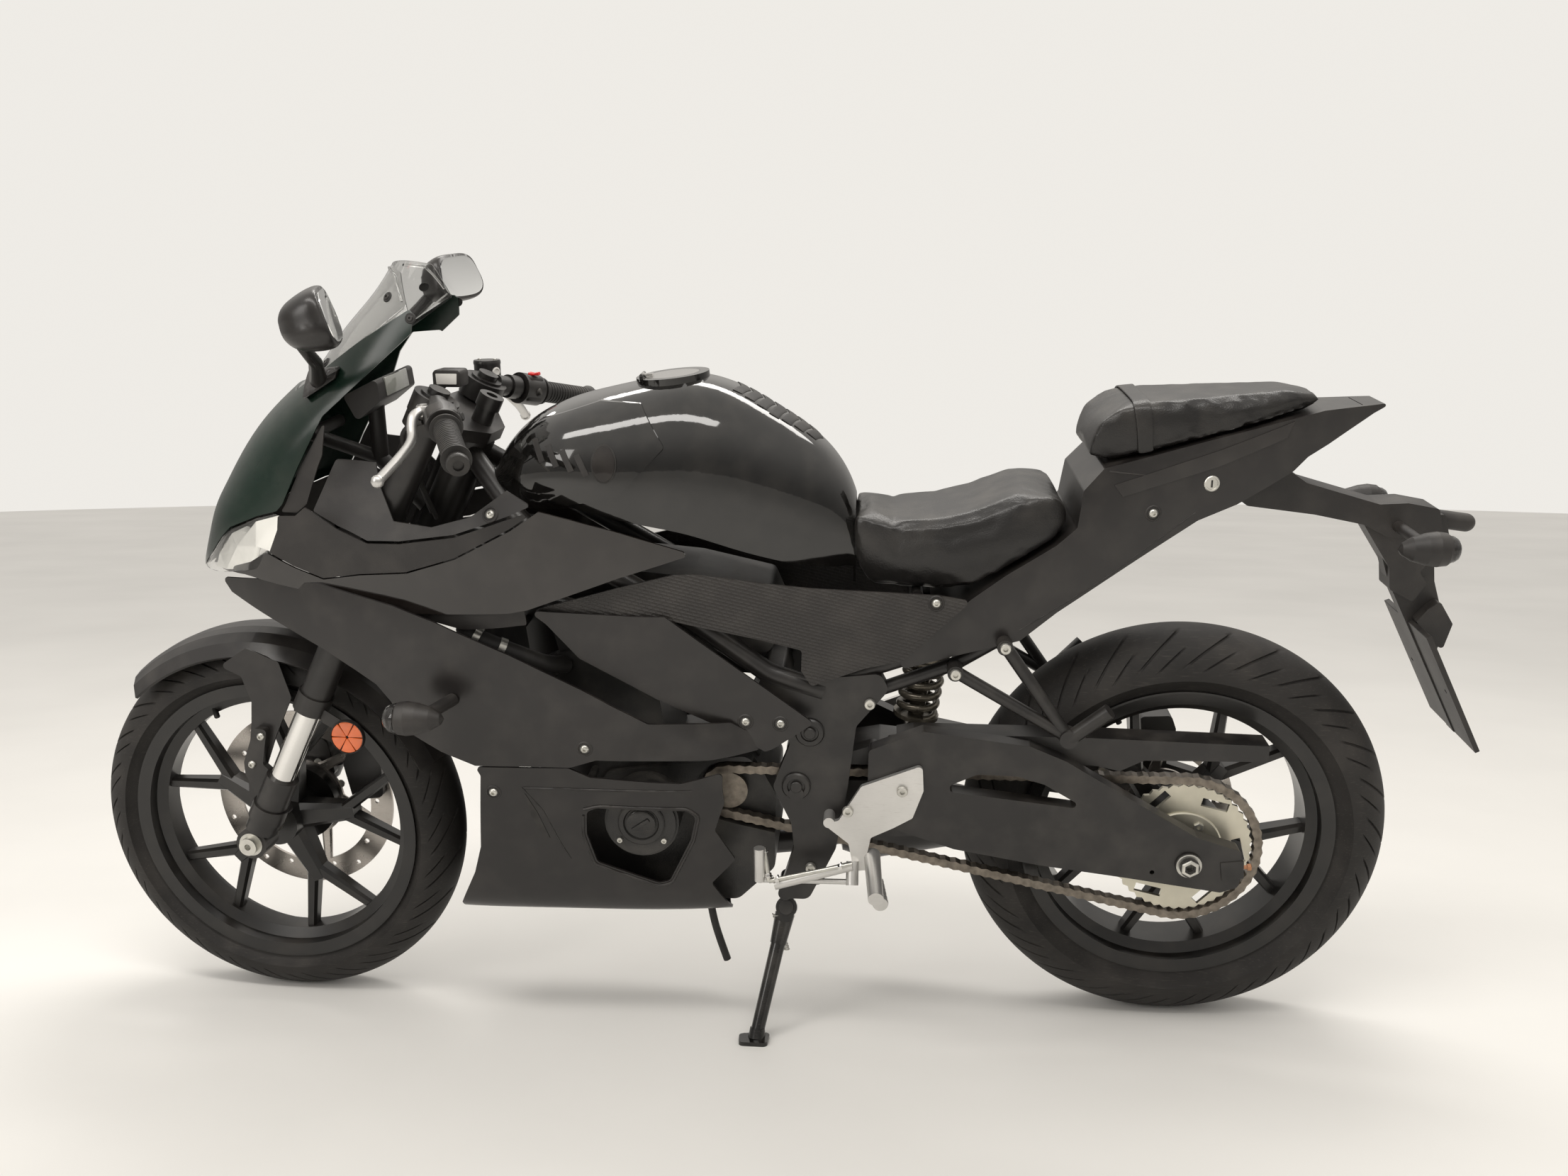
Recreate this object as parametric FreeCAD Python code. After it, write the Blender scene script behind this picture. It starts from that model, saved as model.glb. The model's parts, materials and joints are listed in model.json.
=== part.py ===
import FreeCAD, Part
import math
import os

# A sport bike parked on its side stand, in millimetres: +X to the front, +Y to its left, +Z up.
# Pieces are drawn on an upright bike with its origin on the ground midway between the axles.

V = FreeCAD.Vector

# Chassis
WHEELBASE = 1380.0
LEAN = 10.5
CASTER = 26.5
TRAIL = 98.0
PARKED_STEER = -4.8
STAND_FOOT = (-69.0, 197.0)

# Tyres and wheels
FRONT_RADIUS = 293.0
REAR_RADIUS = 314.0
FRONT_TYRE_HALF = 55.0
REAR_TYRE_HALF = 70.0
BEAD_RADIUS = 222.0
FLANGE_RADIUS = 230.0
FRONT_RIM_HALF = 43.0
REAR_RIM_HALF = 56.0
TYRE_WALL = 9.0
RIM_WALL = 5.0
SPOKE_COUNT = 5
SPOKE_SPLIT = 112.0
SPOKE_SPREAD = 17.0

# Axles, brakes and final drive
AXLE_RADIUS = 8.5
AXLE_BORE = 5.0
AXLE_FIT = 0.05
FRONT_DISC_RADIUS = 149.0
FRONT_DISC_Y = -62.0
REAR_DISC_RADIUS = 110.0
REAR_DISC_Y = -70.0
DISC_THICK = 4.5
CHAIN_Y = 88.0
CHAIN_PITCH = 15.875
REAR_TEETH = 43
FRONT_TEETH = 14
TOOTH_NOTCH = 4.0
SPROCKET_THICK = 6.0
CHAIN_HEIGHT = 14.0
CHAIN_WAIST = 10.0
CHAIN_WIDTH = 15.0
FRONT_SPROCKET = (-28.0, 392.0)

# Fork
FORK_Y = 97.0
SKIRT_Y = 69.5
OUTER_TUBE = 23.0
INNER_TUBE = 18.5
FORK_TOP_Z = 975.0
SEAL_Z = 508.0
FOOT_TOP_Z = 398.0
FOOT_TUBE = 24.0
FOOT_LUG = 38.0
NUT_ROOM = 20.0
STEM_RADIUS = 15.0
HEAD_TOP_Z = 905.0
STEM_BORE = 8.5
TUBE_FIT = 0.05

# Body panels
PANEL = 4.0
TAIL_WALL = 5.0
SEAT_BASE = 706.0
TANK_WALL = 3.0
SWING_ARM_Y = 128.0
ARM_THICK = 26.0
SWING_PIVOT = (-130.0, 405.0)
SPOOL_HOLE = (-640.0, 300.0)
SPOOL_RADIUS = 3.4
SPOOL_DEPTH = 14.0
FRAME_Y = 110.0
FRAME_PLATE = 22.0
PLATE_HOLE_SPAN = 130.0
PLATE_HOLE = 3.2
PLATE_HOLE_PLACE = (-1047.3, 556.0)
PLATE_SHEET = 7.6
STAND_PIVOT = (-112.0, 96.0, 203.0)
STAND_PIN = 6.0
SPRING_PITCH = 17.6
SPRING_TURNS = 5.2
SPRING_RADIUS = 27.0
SPRING_WIRE = 5.4
STAND_EYE = 12.0
HUB_HALF = 42.0
REAR_HUB_HALF = 58.0
SPACER = 13.0
FACE_GAP = 0.3

FRONT_AXLE = V(WHEELBASE / 2, 0, FRONT_RADIUS)
REAR_AXLE = V(-WHEELBASE / 2, 0, REAR_RADIUS)
STEER_AXIS = V(-math.sin(math.radians(CASTER)), 0, math.cos(math.radians(CASTER)))
STEER_FOOT = V(WHEELBASE / 2 + TRAIL, 0, 0)
X, Y, Z = V(1, 0, 0), V(0, 1, 0), V(0, 0, 1)


def turned(shape, centre, axis, degrees):
    out = shape.copy()
    out.rotate(centre, axis, degrees)
    return out


def moved(shape, by):
    out = shape.copy()
    out.translate(by)
    return out


def mirrored(shape):
    return shape.mirror(V(0, 0, 0), Y)


def both(shape):
    return [shape, mirrored(shape)]


def fuse(shapes):
    out = shapes[0]
    if len(shapes) > 1:
        out = out.multiFuse(list(shapes[1:]))
    return out.removeSplitter()


def cylinder(centre, radius, length, axis=Y):
    # A round bar centred on its middle.
    axis = V(axis).normalize()
    return Part.makeCylinder(radius, length, centre - axis * (length / 2), axis)


def rod(start, end, radius, end_radius=None):
    axis = end - start
    if end_radius is None or abs(end_radius - radius) < 1e-6:
        return Part.makeCylinder(radius, axis.Length, start, axis)
    return Part.makeCone(radius, end_radius, axis.Length, start, axis)


def rounded_wire(points, radius):
    # A closed outline in x, z with each corner rounded as far as its sides allow.
    count = len(points)
    edges, first, last = [], None, None
    for index in range(count):
        before = points[index - 1]
        here = points[index]
        after = points[(index + 1) % count]
        towards_before = (before - here)
        towards_after = (after - here)
        room = 0.45 * min(towards_before.Length, towards_after.Length)
        half = towards_before.getAngle(towards_after) / 2
        reach = min(room, radius / max(math.tan(half), 1e-3))
        towards_before.normalize()
        towards_after.normalize()
        start = here + towards_before * reach
        end = here + towards_after * reach
        if last is not None:
            edges.append(Part.LineSegment(last, start).toShape())
        else:
            first = start
        if abs(half - math.pi / 2) < 0.02 or reach < 0.2:
            edges.append(Part.LineSegment(start, end).toShape())
        else:
            bend = reach * math.tan(half)
            middle_axis = (towards_before + towards_after).normalize()
            middle = here + middle_axis * (bend / math.sin(half) - bend)
            edges.append(Part.Arc(start, middle, end).toShape())
        last = end
    edges.append(Part.LineSegment(last, first).toShape())
    return Part.Wire(edges)


def side_plate(outline, y_middle, thick, corner=4.0, holes=()):
    # A plate standing in the x, z plane, with round holes given as x, z, radius.
    points = [V(x, y_middle - thick / 2, z) for x, z in outline]
    plate = Part.Face(rounded_wire(points, corner)).extrude(V(0, thick, 0))
    for x, z, radius in holes:
        plate = plate.cut(cylinder(V(x, y_middle, z), radius, thick * 3))
    return plate


def smooth_loop(points):
    curve = Part.BSplineCurve()
    curve.interpolate(points, PeriodicFlag=True)
    return Part.Wire([curve.toShape()])


def loft(wires, ruled=False):
    return Part.makeLoft(wires, True, ruled)


def revolve_y(profile, centre):
    # Turns a closed outline of (y, radius) pairs about the line along Y through centre.
    points = [V(centre.x, centre.y + y, centre.z + radius) for y, radius in profile]
    face = Part.Face(Part.makePolygon(points + points[:1]))
    return face.revolve(centre, Y, 360)


def between(value, low, high):
    return max(low, min(high, value))


def spread(value, stations):
    # Reads a smooth curve that passes through (position, value) stations without overshooting.
    stations = sorted(stations)
    if value <= stations[0][0]:
        return stations[0][1]
    if value >= stations[-1][0]:
        return stations[-1][1]
    slopes = [(b[1] - a[1]) / (b[0] - a[0]) for a, b in zip(stations, stations[1:])]
    tangents = [slopes[0]]
    for left, right in zip(slopes, slopes[1:]):
        tangents.append(0.0 if left * right <= 0 else 2 * left * right / (left + right))
    tangents.append(slopes[-1])
    index = max(i for i in range(len(slopes)) if stations[i][0] <= value)
    (x0, y0), (x1, y1) = stations[index], stations[index + 1]
    width = x1 - x0
    t = (value - x0) / width
    start, end = tangents[index] * width, tangents[index + 1] * width
    rise = y1 - y0
    return y0 + t * (start + t * (3 * rise - 2 * start - end + t * (start + end - 2 * rise)))


def place(shape):
    # Leans the upright bike over on its stand, level on both tyres.
    out = shape.copy()
    out.rotate(V(0, 0, 0), X, -LEAN)
    out.translate(V(0, 0, REAR_TYRE_HALF * (1 - math.cos(math.radians(LEAN)))))
    out.rotate(V(-WHEELBASE / 2, 0, 0), Y, parked_pitch())
    return out


def unplace(point):
    # The upright bike's point that parks at this one.
    body = Part.Vertex(point)
    body.rotate(V(-WHEELBASE / 2, 0, 0), Y, -parked_pitch())
    body.translate(V(0, 0, -REAR_TYRE_HALF * (1 - math.cos(math.radians(LEAN)))))
    body.rotate(V(0, 0, 0), X, LEAN)
    return body.Point


def parked_pitch():
    # How far the steered front tyre's lowest point hangs above the ground, as an angle.
    hub = turned(Part.Vertex(FRONT_AXLE), STEER_FOOT, STEER_AXIS, PARKED_STEER)
    hub.rotate(V(0, 0, 0), X, -LEAN)
    spin = turned(Part.Vertex(Y), V(0, 0, 0), STEER_AXIS, PARKED_STEER)
    spin.rotate(V(0, 0, 0), X, -LEAN)
    core = FRONT_RADIUS - FRONT_TYRE_HALF
    lowest = hub.Point.z - FRONT_TYRE_HALF - core * math.sqrt(1 - spin.Point.z ** 2)
    lowest += REAR_TYRE_HALF * (1 - math.cos(math.radians(LEAN)))
    return math.degrees(math.atan2(lowest, WHEELBASE))


def steered(shape):
    return place(turned(shape, STEER_FOOT, STEER_AXIS, PARKED_STEER))


def fork_point(z, y=0.0):
    # A point of the fork legs' line at this height.
    rise = (z - FRONT_RADIUS) / STEER_AXIS.z
    return FRONT_AXLE + STEER_AXIS * rise + V(0, y, 0)


def stem_point(z):
    return STEER_FOOT + STEER_AXIS * (z / STEER_AXIS.z)


# Tyres, wheels and brakes

def tyre(centre, radius, half):
    # A round crown, straight sidewalls and beads on the rim, hollow inside.
    core = radius - half
    wall = TYRE_WALL
    outer = [(half * math.sin(a), core + half * math.cos(a))
             for a in [math.radians(d) for d in (-84, -63, -42, -21, 0, 21, 42, 63, 84)]]
    foot = FRONT_RIM_HALF - RIM_WALL if half == FRONT_TYRE_HALF else REAR_RIM_HALF - RIM_WALL
    lip = foot - 11.0
    inside = half - wall
    inner = [(inside * math.sin(a), core + inside * math.cos(a))
             for a in [math.radians(d) for d in (75, 38, 0, -38, -75)]]
    profile = [(-foot, FLANGE_RADIUS + 1.0)] + outer + [(foot, FLANGE_RADIUS + 1.0)]
    profile += [(foot, BEAD_RADIUS - 7.0), (lip, BEAD_RADIUS - 7.0)] + inner
    profile += [(-lip, BEAD_RADIUS - 7.0), (-foot, BEAD_RADIUS - 7.0)]
    return revolve_y(profile, centre)


def rim(centre, half):
    # Flanges, bead seats and a dropped well.
    inner = half - RIM_WALL
    seat = BEAD_RADIUS - 7.0
    drop = seat - 14.0
    top = [(-half, FLANGE_RADIUS - 3.0), (-half, FLANGE_RADIUS), (-inner, FLANGE_RADIUS),
           (-inner, seat), (-inner + 14, seat), (-inner + 20, drop),
           (inner - 20, drop), (inner - 14, seat), (inner, seat),
           (inner, FLANGE_RADIUS), (half, FLANGE_RADIUS), (half, FLANGE_RADIUS - 3.0)]
    under = [(half - 2, seat - 5), (inner - 14, seat - 6), (inner - 22, drop - 7),
             (-inner + 22, drop - 7), (-inner + 14, seat - 6), (-half + 2, seat - 5)]
    return revolve_y(top + under, centre)


def spoke_arm(centre, start, end, width, end_width, depth, end_depth):
    # One tapered bar between two (angle, radius) places in the wheel's plane.
    def at(angle, radius):
        return centre + V(radius * math.cos(math.radians(angle)), 0, radius * math.sin(math.radians(angle)))
    near, far = at(*start), at(*end)
    along = (far - near).normalize()
    across = along.cross(Y)

    def section(middle, half_width, half_depth):
        corners = []
        for side, rise in ((1, -0.6), (1, 0.6), (0.6, 1), (-0.6, 1), (-1, 0.6), (-1, -0.6), (-0.6, -1), (0.6, -1)):
            corners.append(middle + across * (half_width * side) + Y * (half_depth * rise))
        return Part.makePolygon(corners + corners[:1])
    return loft([section(near, width / 2, depth / 2), section(far, end_width / 2, end_depth / 2)], ruled=True)


def spokes(centre, hub_radius, depth, first):
    arms = []
    rim_reach = BEAD_RADIUS - 24.0
    for index in range(SPOKE_COUNT):
        angle = first + index * 360 / SPOKE_COUNT
        arms.append(spoke_arm(centre, (angle, hub_radius - 6), (angle, SPOKE_SPLIT + 6), 42, 26, depth, depth * 0.62))
        for side in (-1, 1):
            arms.append(spoke_arm(centre, (angle + side * 3.5, SPOKE_SPLIT - 8),
                                  (angle + side * SPOKE_SPREAD, rim_reach), 19, 15, depth * 0.62, depth * 0.5))
    return arms


def hub(centre, radius, half, bore):
    shell = cylinder(centre, radius, half * 2)
    return shell.cut(cylinder(centre, bore, half * 2 + 2))


def front_wheel():
    seat = abs(FRONT_DISC_Y) - DISC_THICK / 2
    pieces = [rim(FRONT_AXLE, FRONT_RIM_HALF), cylinder(FRONT_AXLE, 36, 2 * HUB_HALF)]
    pieces.append(cylinder(FRONT_AXLE - V(0, (seat + 38) / 2, 0), 62, seat - 38))
    pieces += spokes(FRONT_AXLE, 36, 46, 30)
    return fuse(pieces).cut(cylinder(FRONT_AXLE, AXLE_RADIUS + AXLE_FIT, 300))


def rear_wheel():
    disc_seat = abs(REAR_DISC_Y) - DISC_THICK / 2
    sprocket_seat = CHAIN_Y - SPROCKET_THICK / 2
    pieces = [rim(REAR_AXLE, REAR_RIM_HALF), cylinder(REAR_AXLE, 42, 2 * REAR_HUB_HALF)]
    pieces.append(cylinder(REAR_AXLE + V(0, (sprocket_seat + 46) / 2, 0), 72, sprocket_seat - 46))
    pieces.append(cylinder(REAR_AXLE - V(0, (disc_seat + 46) / 2, 0), 50, disc_seat - 46))
    pieces += spokes(REAR_AXLE, 42, 60, 54)
    return fuse(pieces).cut(cylinder(REAR_AXLE, AXLE_RADIUS + AXLE_FIT, 400))


def brake_disc(centre, y, radius, inner, hub_radius, arms, holes):
    # A drilled ring on arms, with a centre that bolts to the hub.
    middle = centre + V(0, y, 0)
    ring = cylinder(middle, radius, DISC_THICK).cut(cylinder(middle, inner, DISC_THICK * 2))
    core = cylinder(middle, hub_radius, DISC_THICK)
    pieces = [ring, core]
    for index in range(arms):
        angle = index * 360 / arms
        pieces.append(spoke_arm(middle, (angle, hub_radius - 5), (angle + 16, inner + 4), 18, 13, DISC_THICK, DISC_THICK))
    disc = fuse(pieces).cut(cylinder(middle, 24, DISC_THICK * 2))
    drills = []
    for index in range(holes):
        angle = math.radians(index * 360 / holes)
        for row, turn in ((0.28, 0.0), (0.68, math.pi / holes)):
            away = inner + (radius - inner) * row
            place_at = V(away * math.cos(angle + turn), 0, away * math.sin(angle + turn))
            drills.append(cylinder(middle + place_at, 4.0, DISC_THICK * 2))
    return disc.cut(Part.makeCompound(drills))


def front_disc():
    return brake_disc(FRONT_AXLE, FRONT_DISC_Y, FRONT_DISC_RADIUS, 112, 66, 6, 10)


def rear_disc():
    return brake_disc(REAR_AXLE, REAR_DISC_Y, REAR_DISC_RADIUS, 80, 52, 5, 8)


def rear_sprocket():
    middle = REAR_AXLE + V(0, CHAIN_Y, 0)
    pitch_radius = CHAIN_PITCH / (2 * math.sin(math.pi / REAR_TEETH))
    root = pitch_radius - CHAIN_HEIGHT / 2 - 0.4
    rim = []
    for index in range(2 * REAR_TEETH):
        angle = math.pi * index / REAR_TEETH
        away = root - (0.0 if index % 2 else TOOTH_NOTCH)
        rim.append(middle + V(away * math.cos(angle), -SPROCKET_THICK / 2, away * math.sin(angle)))
    plate = Part.Face(Part.makePolygon(rim + rim[:1])).extrude(V(0, SPROCKET_THICK, 0))
    slots = [cylinder(middle, 24, 12)]
    for index in range(6):
        angle = index * 60
        slots.append(spoke_arm(middle, (angle - 12, 78), (angle + 14, 90), 13, 13, 12, 12))
    return plate.cut(Part.makeCompound(slots))


def chain_line():
    # The closed pitch line of the chain over both sprockets, as tangent lines and arcs.
    big = CHAIN_PITCH / (2 * math.sin(math.pi / REAR_TEETH))
    small = CHAIN_PITCH / (2 * math.sin(math.pi / FRONT_TEETH))
    rear = V(REAR_AXLE.x, CHAIN_Y, REAR_AXLE.z)
    front = V(FRONT_SPROCKET[0], CHAIN_Y, FRONT_SPROCKET[1])
    gap = front - rear
    tilt = math.atan2(gap.z, gap.x)
    open_angle = math.acos((big - small) / gap.Length)
    return rear, front, big, small, tilt, open_angle


def chain_belt(grow, width):
    # The solid outline of the chain, grown to each side of its pitch line.
    rear, front, big, small, tilt, open_angle = chain_line()

    def at(middle, radius, angle):
        return middle + V(radius * math.cos(angle), -width / 2, radius * math.sin(angle))
    up, down = tilt + open_angle, tilt - open_angle
    edges = [Part.LineSegment(at(rear, big + grow, up), at(front, small + grow, up)).toShape(),
             Part.Arc(at(front, small + grow, up), at(front, small + grow, tilt),
                      at(front, small + grow, down)).toShape(),
             Part.LineSegment(at(front, small + grow, down), at(rear, big + grow, down)).toShape(),
             Part.Arc(at(rear, big + grow, down), at(rear, big + grow, tilt + math.pi),
                      at(rear, big + grow, up)).toShape()]
    return Part.Face(Part.Wire(edges)).extrude(V(0, width, 0))


def chain_point(distance, grow):
    # The point this far along the pitch line, moved out by grow.
    rear, front, big, small, tilt, open_angle = chain_line()
    up, down = tilt + open_angle, tilt - open_angle
    straight = math.sqrt((front - rear).Length ** 2 - (big - small) ** 2)
    front_arc, rear_arc = small * 2 * open_angle, big * (2 * math.pi - 2 * open_angle)

    def on(middle, radius, angle):
        return middle + V(math.cos(angle), 0, math.sin(angle)) * (radius + grow)
    if distance < straight:
        start, end = on(rear, big, up), on(front, small, up)
        return start + (end - start) * (distance / straight)
    distance -= straight
    if distance < front_arc:
        return on(front, small, up - distance / small)
    distance -= front_arc
    if distance < straight:
        start, end = on(front, small, down), on(rear, big, down)
        return start + (end - start) * (distance / straight)
    distance -= straight
    return on(rear, big, down - distance / big)


def chain_length():
    rear, front, big, small, tilt, open_angle = chain_line()
    straight = math.sqrt((front - rear).Length ** 2 - (big - small) ** 2)
    return 2 * straight + small * 2 * open_angle + big * (2 * math.pi - 2 * open_angle)


def chain():
    # The closed chain with waisted link plates, and the small sprocket it runs over.
    small = CHAIN_PITCH / (2 * math.sin(math.pi / FRONT_TEETH))
    sprocket = cylinder(V(FRONT_SPROCKET[0], CHAIN_Y, FRONT_SPROCKET[1]), small - CHAIN_HEIGHT / 2 - 0.4, SPROCKET_THICK)
    count = 2 * round(chain_length() / CHAIN_PITCH / 2)
    pitch = chain_length() / count
    faces = []
    for side in (1, -1):
        points = []
        for index in range(count):
            for part, half in ((0.0, CHAIN_HEIGHT / 2), (0.5, CHAIN_WAIST / 2)):
                points.append(chain_point((index + part) * pitch, side * half) - V(0, CHAIN_WIDTH / 2, 0))
        faces.append(Part.Face(Part.makePolygon(points + points[:1])).extrude(V(0, CHAIN_WIDTH, 0)))
    return [faces[0].cut(faces[1]), sprocket]


# Fork and controls

def fork_legs():
    legs = []
    for y in (FORK_Y, -FORK_Y):
        top, seal = fork_point(FORK_TOP_Z, y), fork_point(SEAL_Z, y)
        outer = [rod(seal, top, OUTER_TUBE), rod(seal, fork_point(SEAL_Z + 26, y), OUTER_TUBE + 3)]
        outer.append(rod(top, fork_point(FORK_TOP_Z + 7, y), 15))
        upper = fuse(outer)
        upper = upper.cut(rod(fork_point(SEAL_Z - 5, y), fork_point(SEAL_Z + 200, y), INNER_TUBE + TUBE_FIT))
        foot_top = fork_point(FOOT_TOP_Z, y)
        lug = V(FRONT_AXLE.x, y, FRONT_AXLE.z)
        foot = [rod(fork_point(FRONT_RADIUS + 18, y), foot_top, FOOT_TUBE),
                rod(fork_point(330, y), fork_point(352, y), FOOT_TUBE + 3),
                cylinder(lug, 24, FOOT_LUG),
                side_plate([(640, 330), (680, 330), (706, 392), (706, 412), (684, 468), (664, 466), (676, 410),
                            (650, 385)], math.copysign(SKIRT_Y + 1.6 + FACE_GAP + 6, y), 12, 6),
                rod(lug, fork_point(FRONT_RADIUS + 40, y), 19, 23)]
        lower = fuse(foot)
        lower = lower.cut(rod(fork_point(FOOT_TOP_Z - 60, y), fork_point(FOOT_TOP_Z + 5, y), INNER_TUBE + TUBE_FIT))
        lower = lower.cut(cylinder(lug, AXLE_RADIUS + AXLE_FIT, 80))
        for side in (1, -1):
            lower = lower.cut(cylinder(lug + Y * (side * (FOOT_LUG / 2 + 15)), NUT_ROOM, 30))
        legs += [upper, lower]
    return legs


def fork_inner_tubes():
    tubes = []
    for y in (FORK_Y, -FORK_Y):
        tubes.append(rod(fork_point(FOOT_TOP_Z - 55, y), fork_point(SEAL_Z + 180, y), INNER_TUBE))
    return tubes


def clamp_plate(z, thick, back, pinch):
    # One triple clamp: two rings round the legs and a bridge to the stem.
    ahead = V(STEER_AXIS.z, 0, -STEER_AXIS.x)
    middle = fork_point(z)
    stem = stem_point(z)
    offset = (middle - stem).dot(ahead)
    base = stem + STEER_AXIS * ((middle - stem).dot(STEER_AXIS) - thick / 2)

    def at(forward, y):
        return base + ahead * forward + V(0, y, 0)
    outline = [(offset + 30, -FORK_Y + 8), (offset + 30, FORK_Y - 8), (offset + 18, FORK_Y + pinch),
               (offset - 18, FORK_Y + pinch), (-back, 30), (-back, -30),
               (offset - 18, -FORK_Y - pinch), (offset + 18, -FORK_Y - pinch)]
    plate = Part.Face(rounded_wire([at(f, y) for f, y in outline], 12)).extrude(STEER_AXIS * thick)
    for y in (FORK_Y, -FORK_Y):
        plate = plate.fuse(rod(at(offset, y), at(offset, y) + STEER_AXIS * thick, OUTER_TUBE + 8))
        plate = plate.cut(rod(at(offset, y) - STEER_AXIS * 20, at(offset, y) + STEER_AXIS * (thick + 20),
                              OUTER_TUBE + TUBE_FIT))
    return plate


def fork_clamps():
    upper = clamp_plate(935, 18, 28, 22)
    lower = clamp_plate(690, 30, 30, 24)
    stem = rod(stem_point(675), stem_point(952), STEM_RADIUS)
    nut = rod(stem_point(945), stem_point(962), 18)
    bore = rod(stem_point(600), stem_point(1000), STEM_BORE)
    return fuse([upper, lower, stem, nut]).cut(bore)


BAR_IN = (352.0, 102.0, 966.0)
BAR_OUT = (245.0, 308.0, 917.0)
POT_AT = (368.0, -150.0, 964.0)
POT_RADIUS = 20.0


def bar_at(part, extra=V(0, 0, 0)):
    start, end = V(*BAR_IN), V(*BAR_OUT)
    return start + (end - start) * part + extra


def handlebars():
    pieces = []
    clip = fuse([rod(fork_point(946, FORK_Y), fork_point(972, FORK_Y), OUTER_TUBE + 9),
                 rod(bar_at(0.05), bar_at(0.97), 11),
                 rod(bar_at(0.02), bar_at(0.2), 15)])
    clip = clip.cut(rod(fork_point(900, FORK_Y), fork_point(1020, FORK_Y), OUTER_TUBE + TUBE_FIT))
    switch = rod(bar_at(0.27), bar_at(0.43), 24)
    pieces.append(fuse([clip, switch]))
    pieces.append(mirrored(pieces[0]))
    master_at = bar_at(0.2, V(22, 0, 8))
    master_at = V(master_at.x, -master_at.y, master_at.z)
    pot = Part.makeCylinder(POT_RADIUS, 32, V(*POT_AT), Z)
    body = rod(master_at + V(-4, 24, 0), master_at + V(10, -34, -8), 13)
    arm = rod(V(POT_AT[0] - 2, POT_AT[1], POT_AT[2] + 7), master_at + V(2, -4, 0), 8)
    grip_clamp = rod(bar_at(0.17), bar_at(0.25), 18)
    pieces[1] = fuse([pieces[1], pot, body, arm, mirrored(grip_clamp)])
    pieces[0] = fuse([pieces[0], grip_clamp, rod(bar_at(0.21), bar_at(0.21, V(30, 4, 4)), 9)])
    legs = [rod(fork_point(900, y), fork_point(1020, y), OUTER_TUBE + TUBE_FIT) for y in (FORK_Y, -FORK_Y)]
    return [piece.cut(Part.makeCompound(legs)) for piece in pieces]


def grips():
    left = rod(bar_at(0.46), bar_at(0.93), 16.5).cut(rod(bar_at(0.4), bar_at(1.0), 11.02))
    return both(left)


def hand_levers():
    start = bar_at(0.24, V(34, 2, 4))
    bend = bar_at(0.42, V(52, 4, 2))
    end = bar_at(0.93, V(62, 4, -18))
    left = fuse([rod(start, bend, 7, 6), rod(bend, end, 6, 5), Part.makeSphere(9, end), Part.makeSphere(6.4, bend),
                 Part.makeCylinder(10, 14, start - Z * 7, Z)])
    return both(left)


def front_axle():
    # The hollow axle with its nut, head and the two spacers beside the hub.
    leg_side = FORK_Y - FOOT_LUG / 2
    outside = FORK_Y + FOOT_LUG / 2
    pieces = [cylinder(FRONT_AXLE, AXLE_RADIUS, 2 * outside + 22)]
    pieces.append(cylinder(FRONT_AXLE + V(0, outside + 1.2, 0), 18, 2))
    pieces.append(cylinder(FRONT_AXLE + V(0, outside + 7, 0), 13.5, 10))
    pieces.append(cylinder(FRONT_AXLE - V(0, outside + 5.2, 0), 14, 10))
    right = abs(FRONT_DISC_Y) - DISC_THICK / 2 + FACE_GAP
    left = HUB_HALF + FACE_GAP
    for side, start in ((1, left), (-1, right)):
        end = leg_side - 0.2
        pieces.append(cylinder(FRONT_AXLE + V(0, side * (start + end) / 2, 0), SPACER, end - start))
    return fuse(pieces).cut(cylinder(FRONT_AXLE, AXLE_BORE, 300))


def front_caliper():
    middle = turned(Part.Vertex(V(FRONT_AXLE.x + 122, 0, FRONT_AXLE.z)), FRONT_AXLE, Y, 0)
    away, angle = 126.0, 152.0
    at = FRONT_AXLE + V(away * math.cos(math.radians(angle)), 0, away * math.sin(math.radians(angle)))
    outline = [(at.x - 30, at.z - 46), (at.x + 22, at.z - 52), (at.x + 34, at.z + 8),
               (at.x + 18, at.z + 48), (at.x - 30, at.z + 44)]
    body = side_plate(outline, FRONT_DISC_Y - 6, 64, 12)
    slot = cylinder(FRONT_AXLE + V(0, FRONT_DISC_Y, 0), FRONT_DISC_RADIUS + 5, DISC_THICK + 5)
    body = body.cut(slot)
    ear = side_plate([(at.x - 6, at.z - 40), (fork_point(360).x - 8, 352), (fork_point(420).x - 8, 412), (at.x, at.z + 40)],
                     -FORK_Y, 14, 5)
    leg = rod(fork_point(300, -FORK_Y), fork_point(460, -FORK_Y), FOOT_TUBE + 0.3)
    inside = cylinder(FRONT_AXLE + V(0, 0, 0), 400, 2 * (abs(FRONT_DISC_Y) - 16))
    return fuse([body, ear]).cut(leg).cut(inside)


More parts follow.
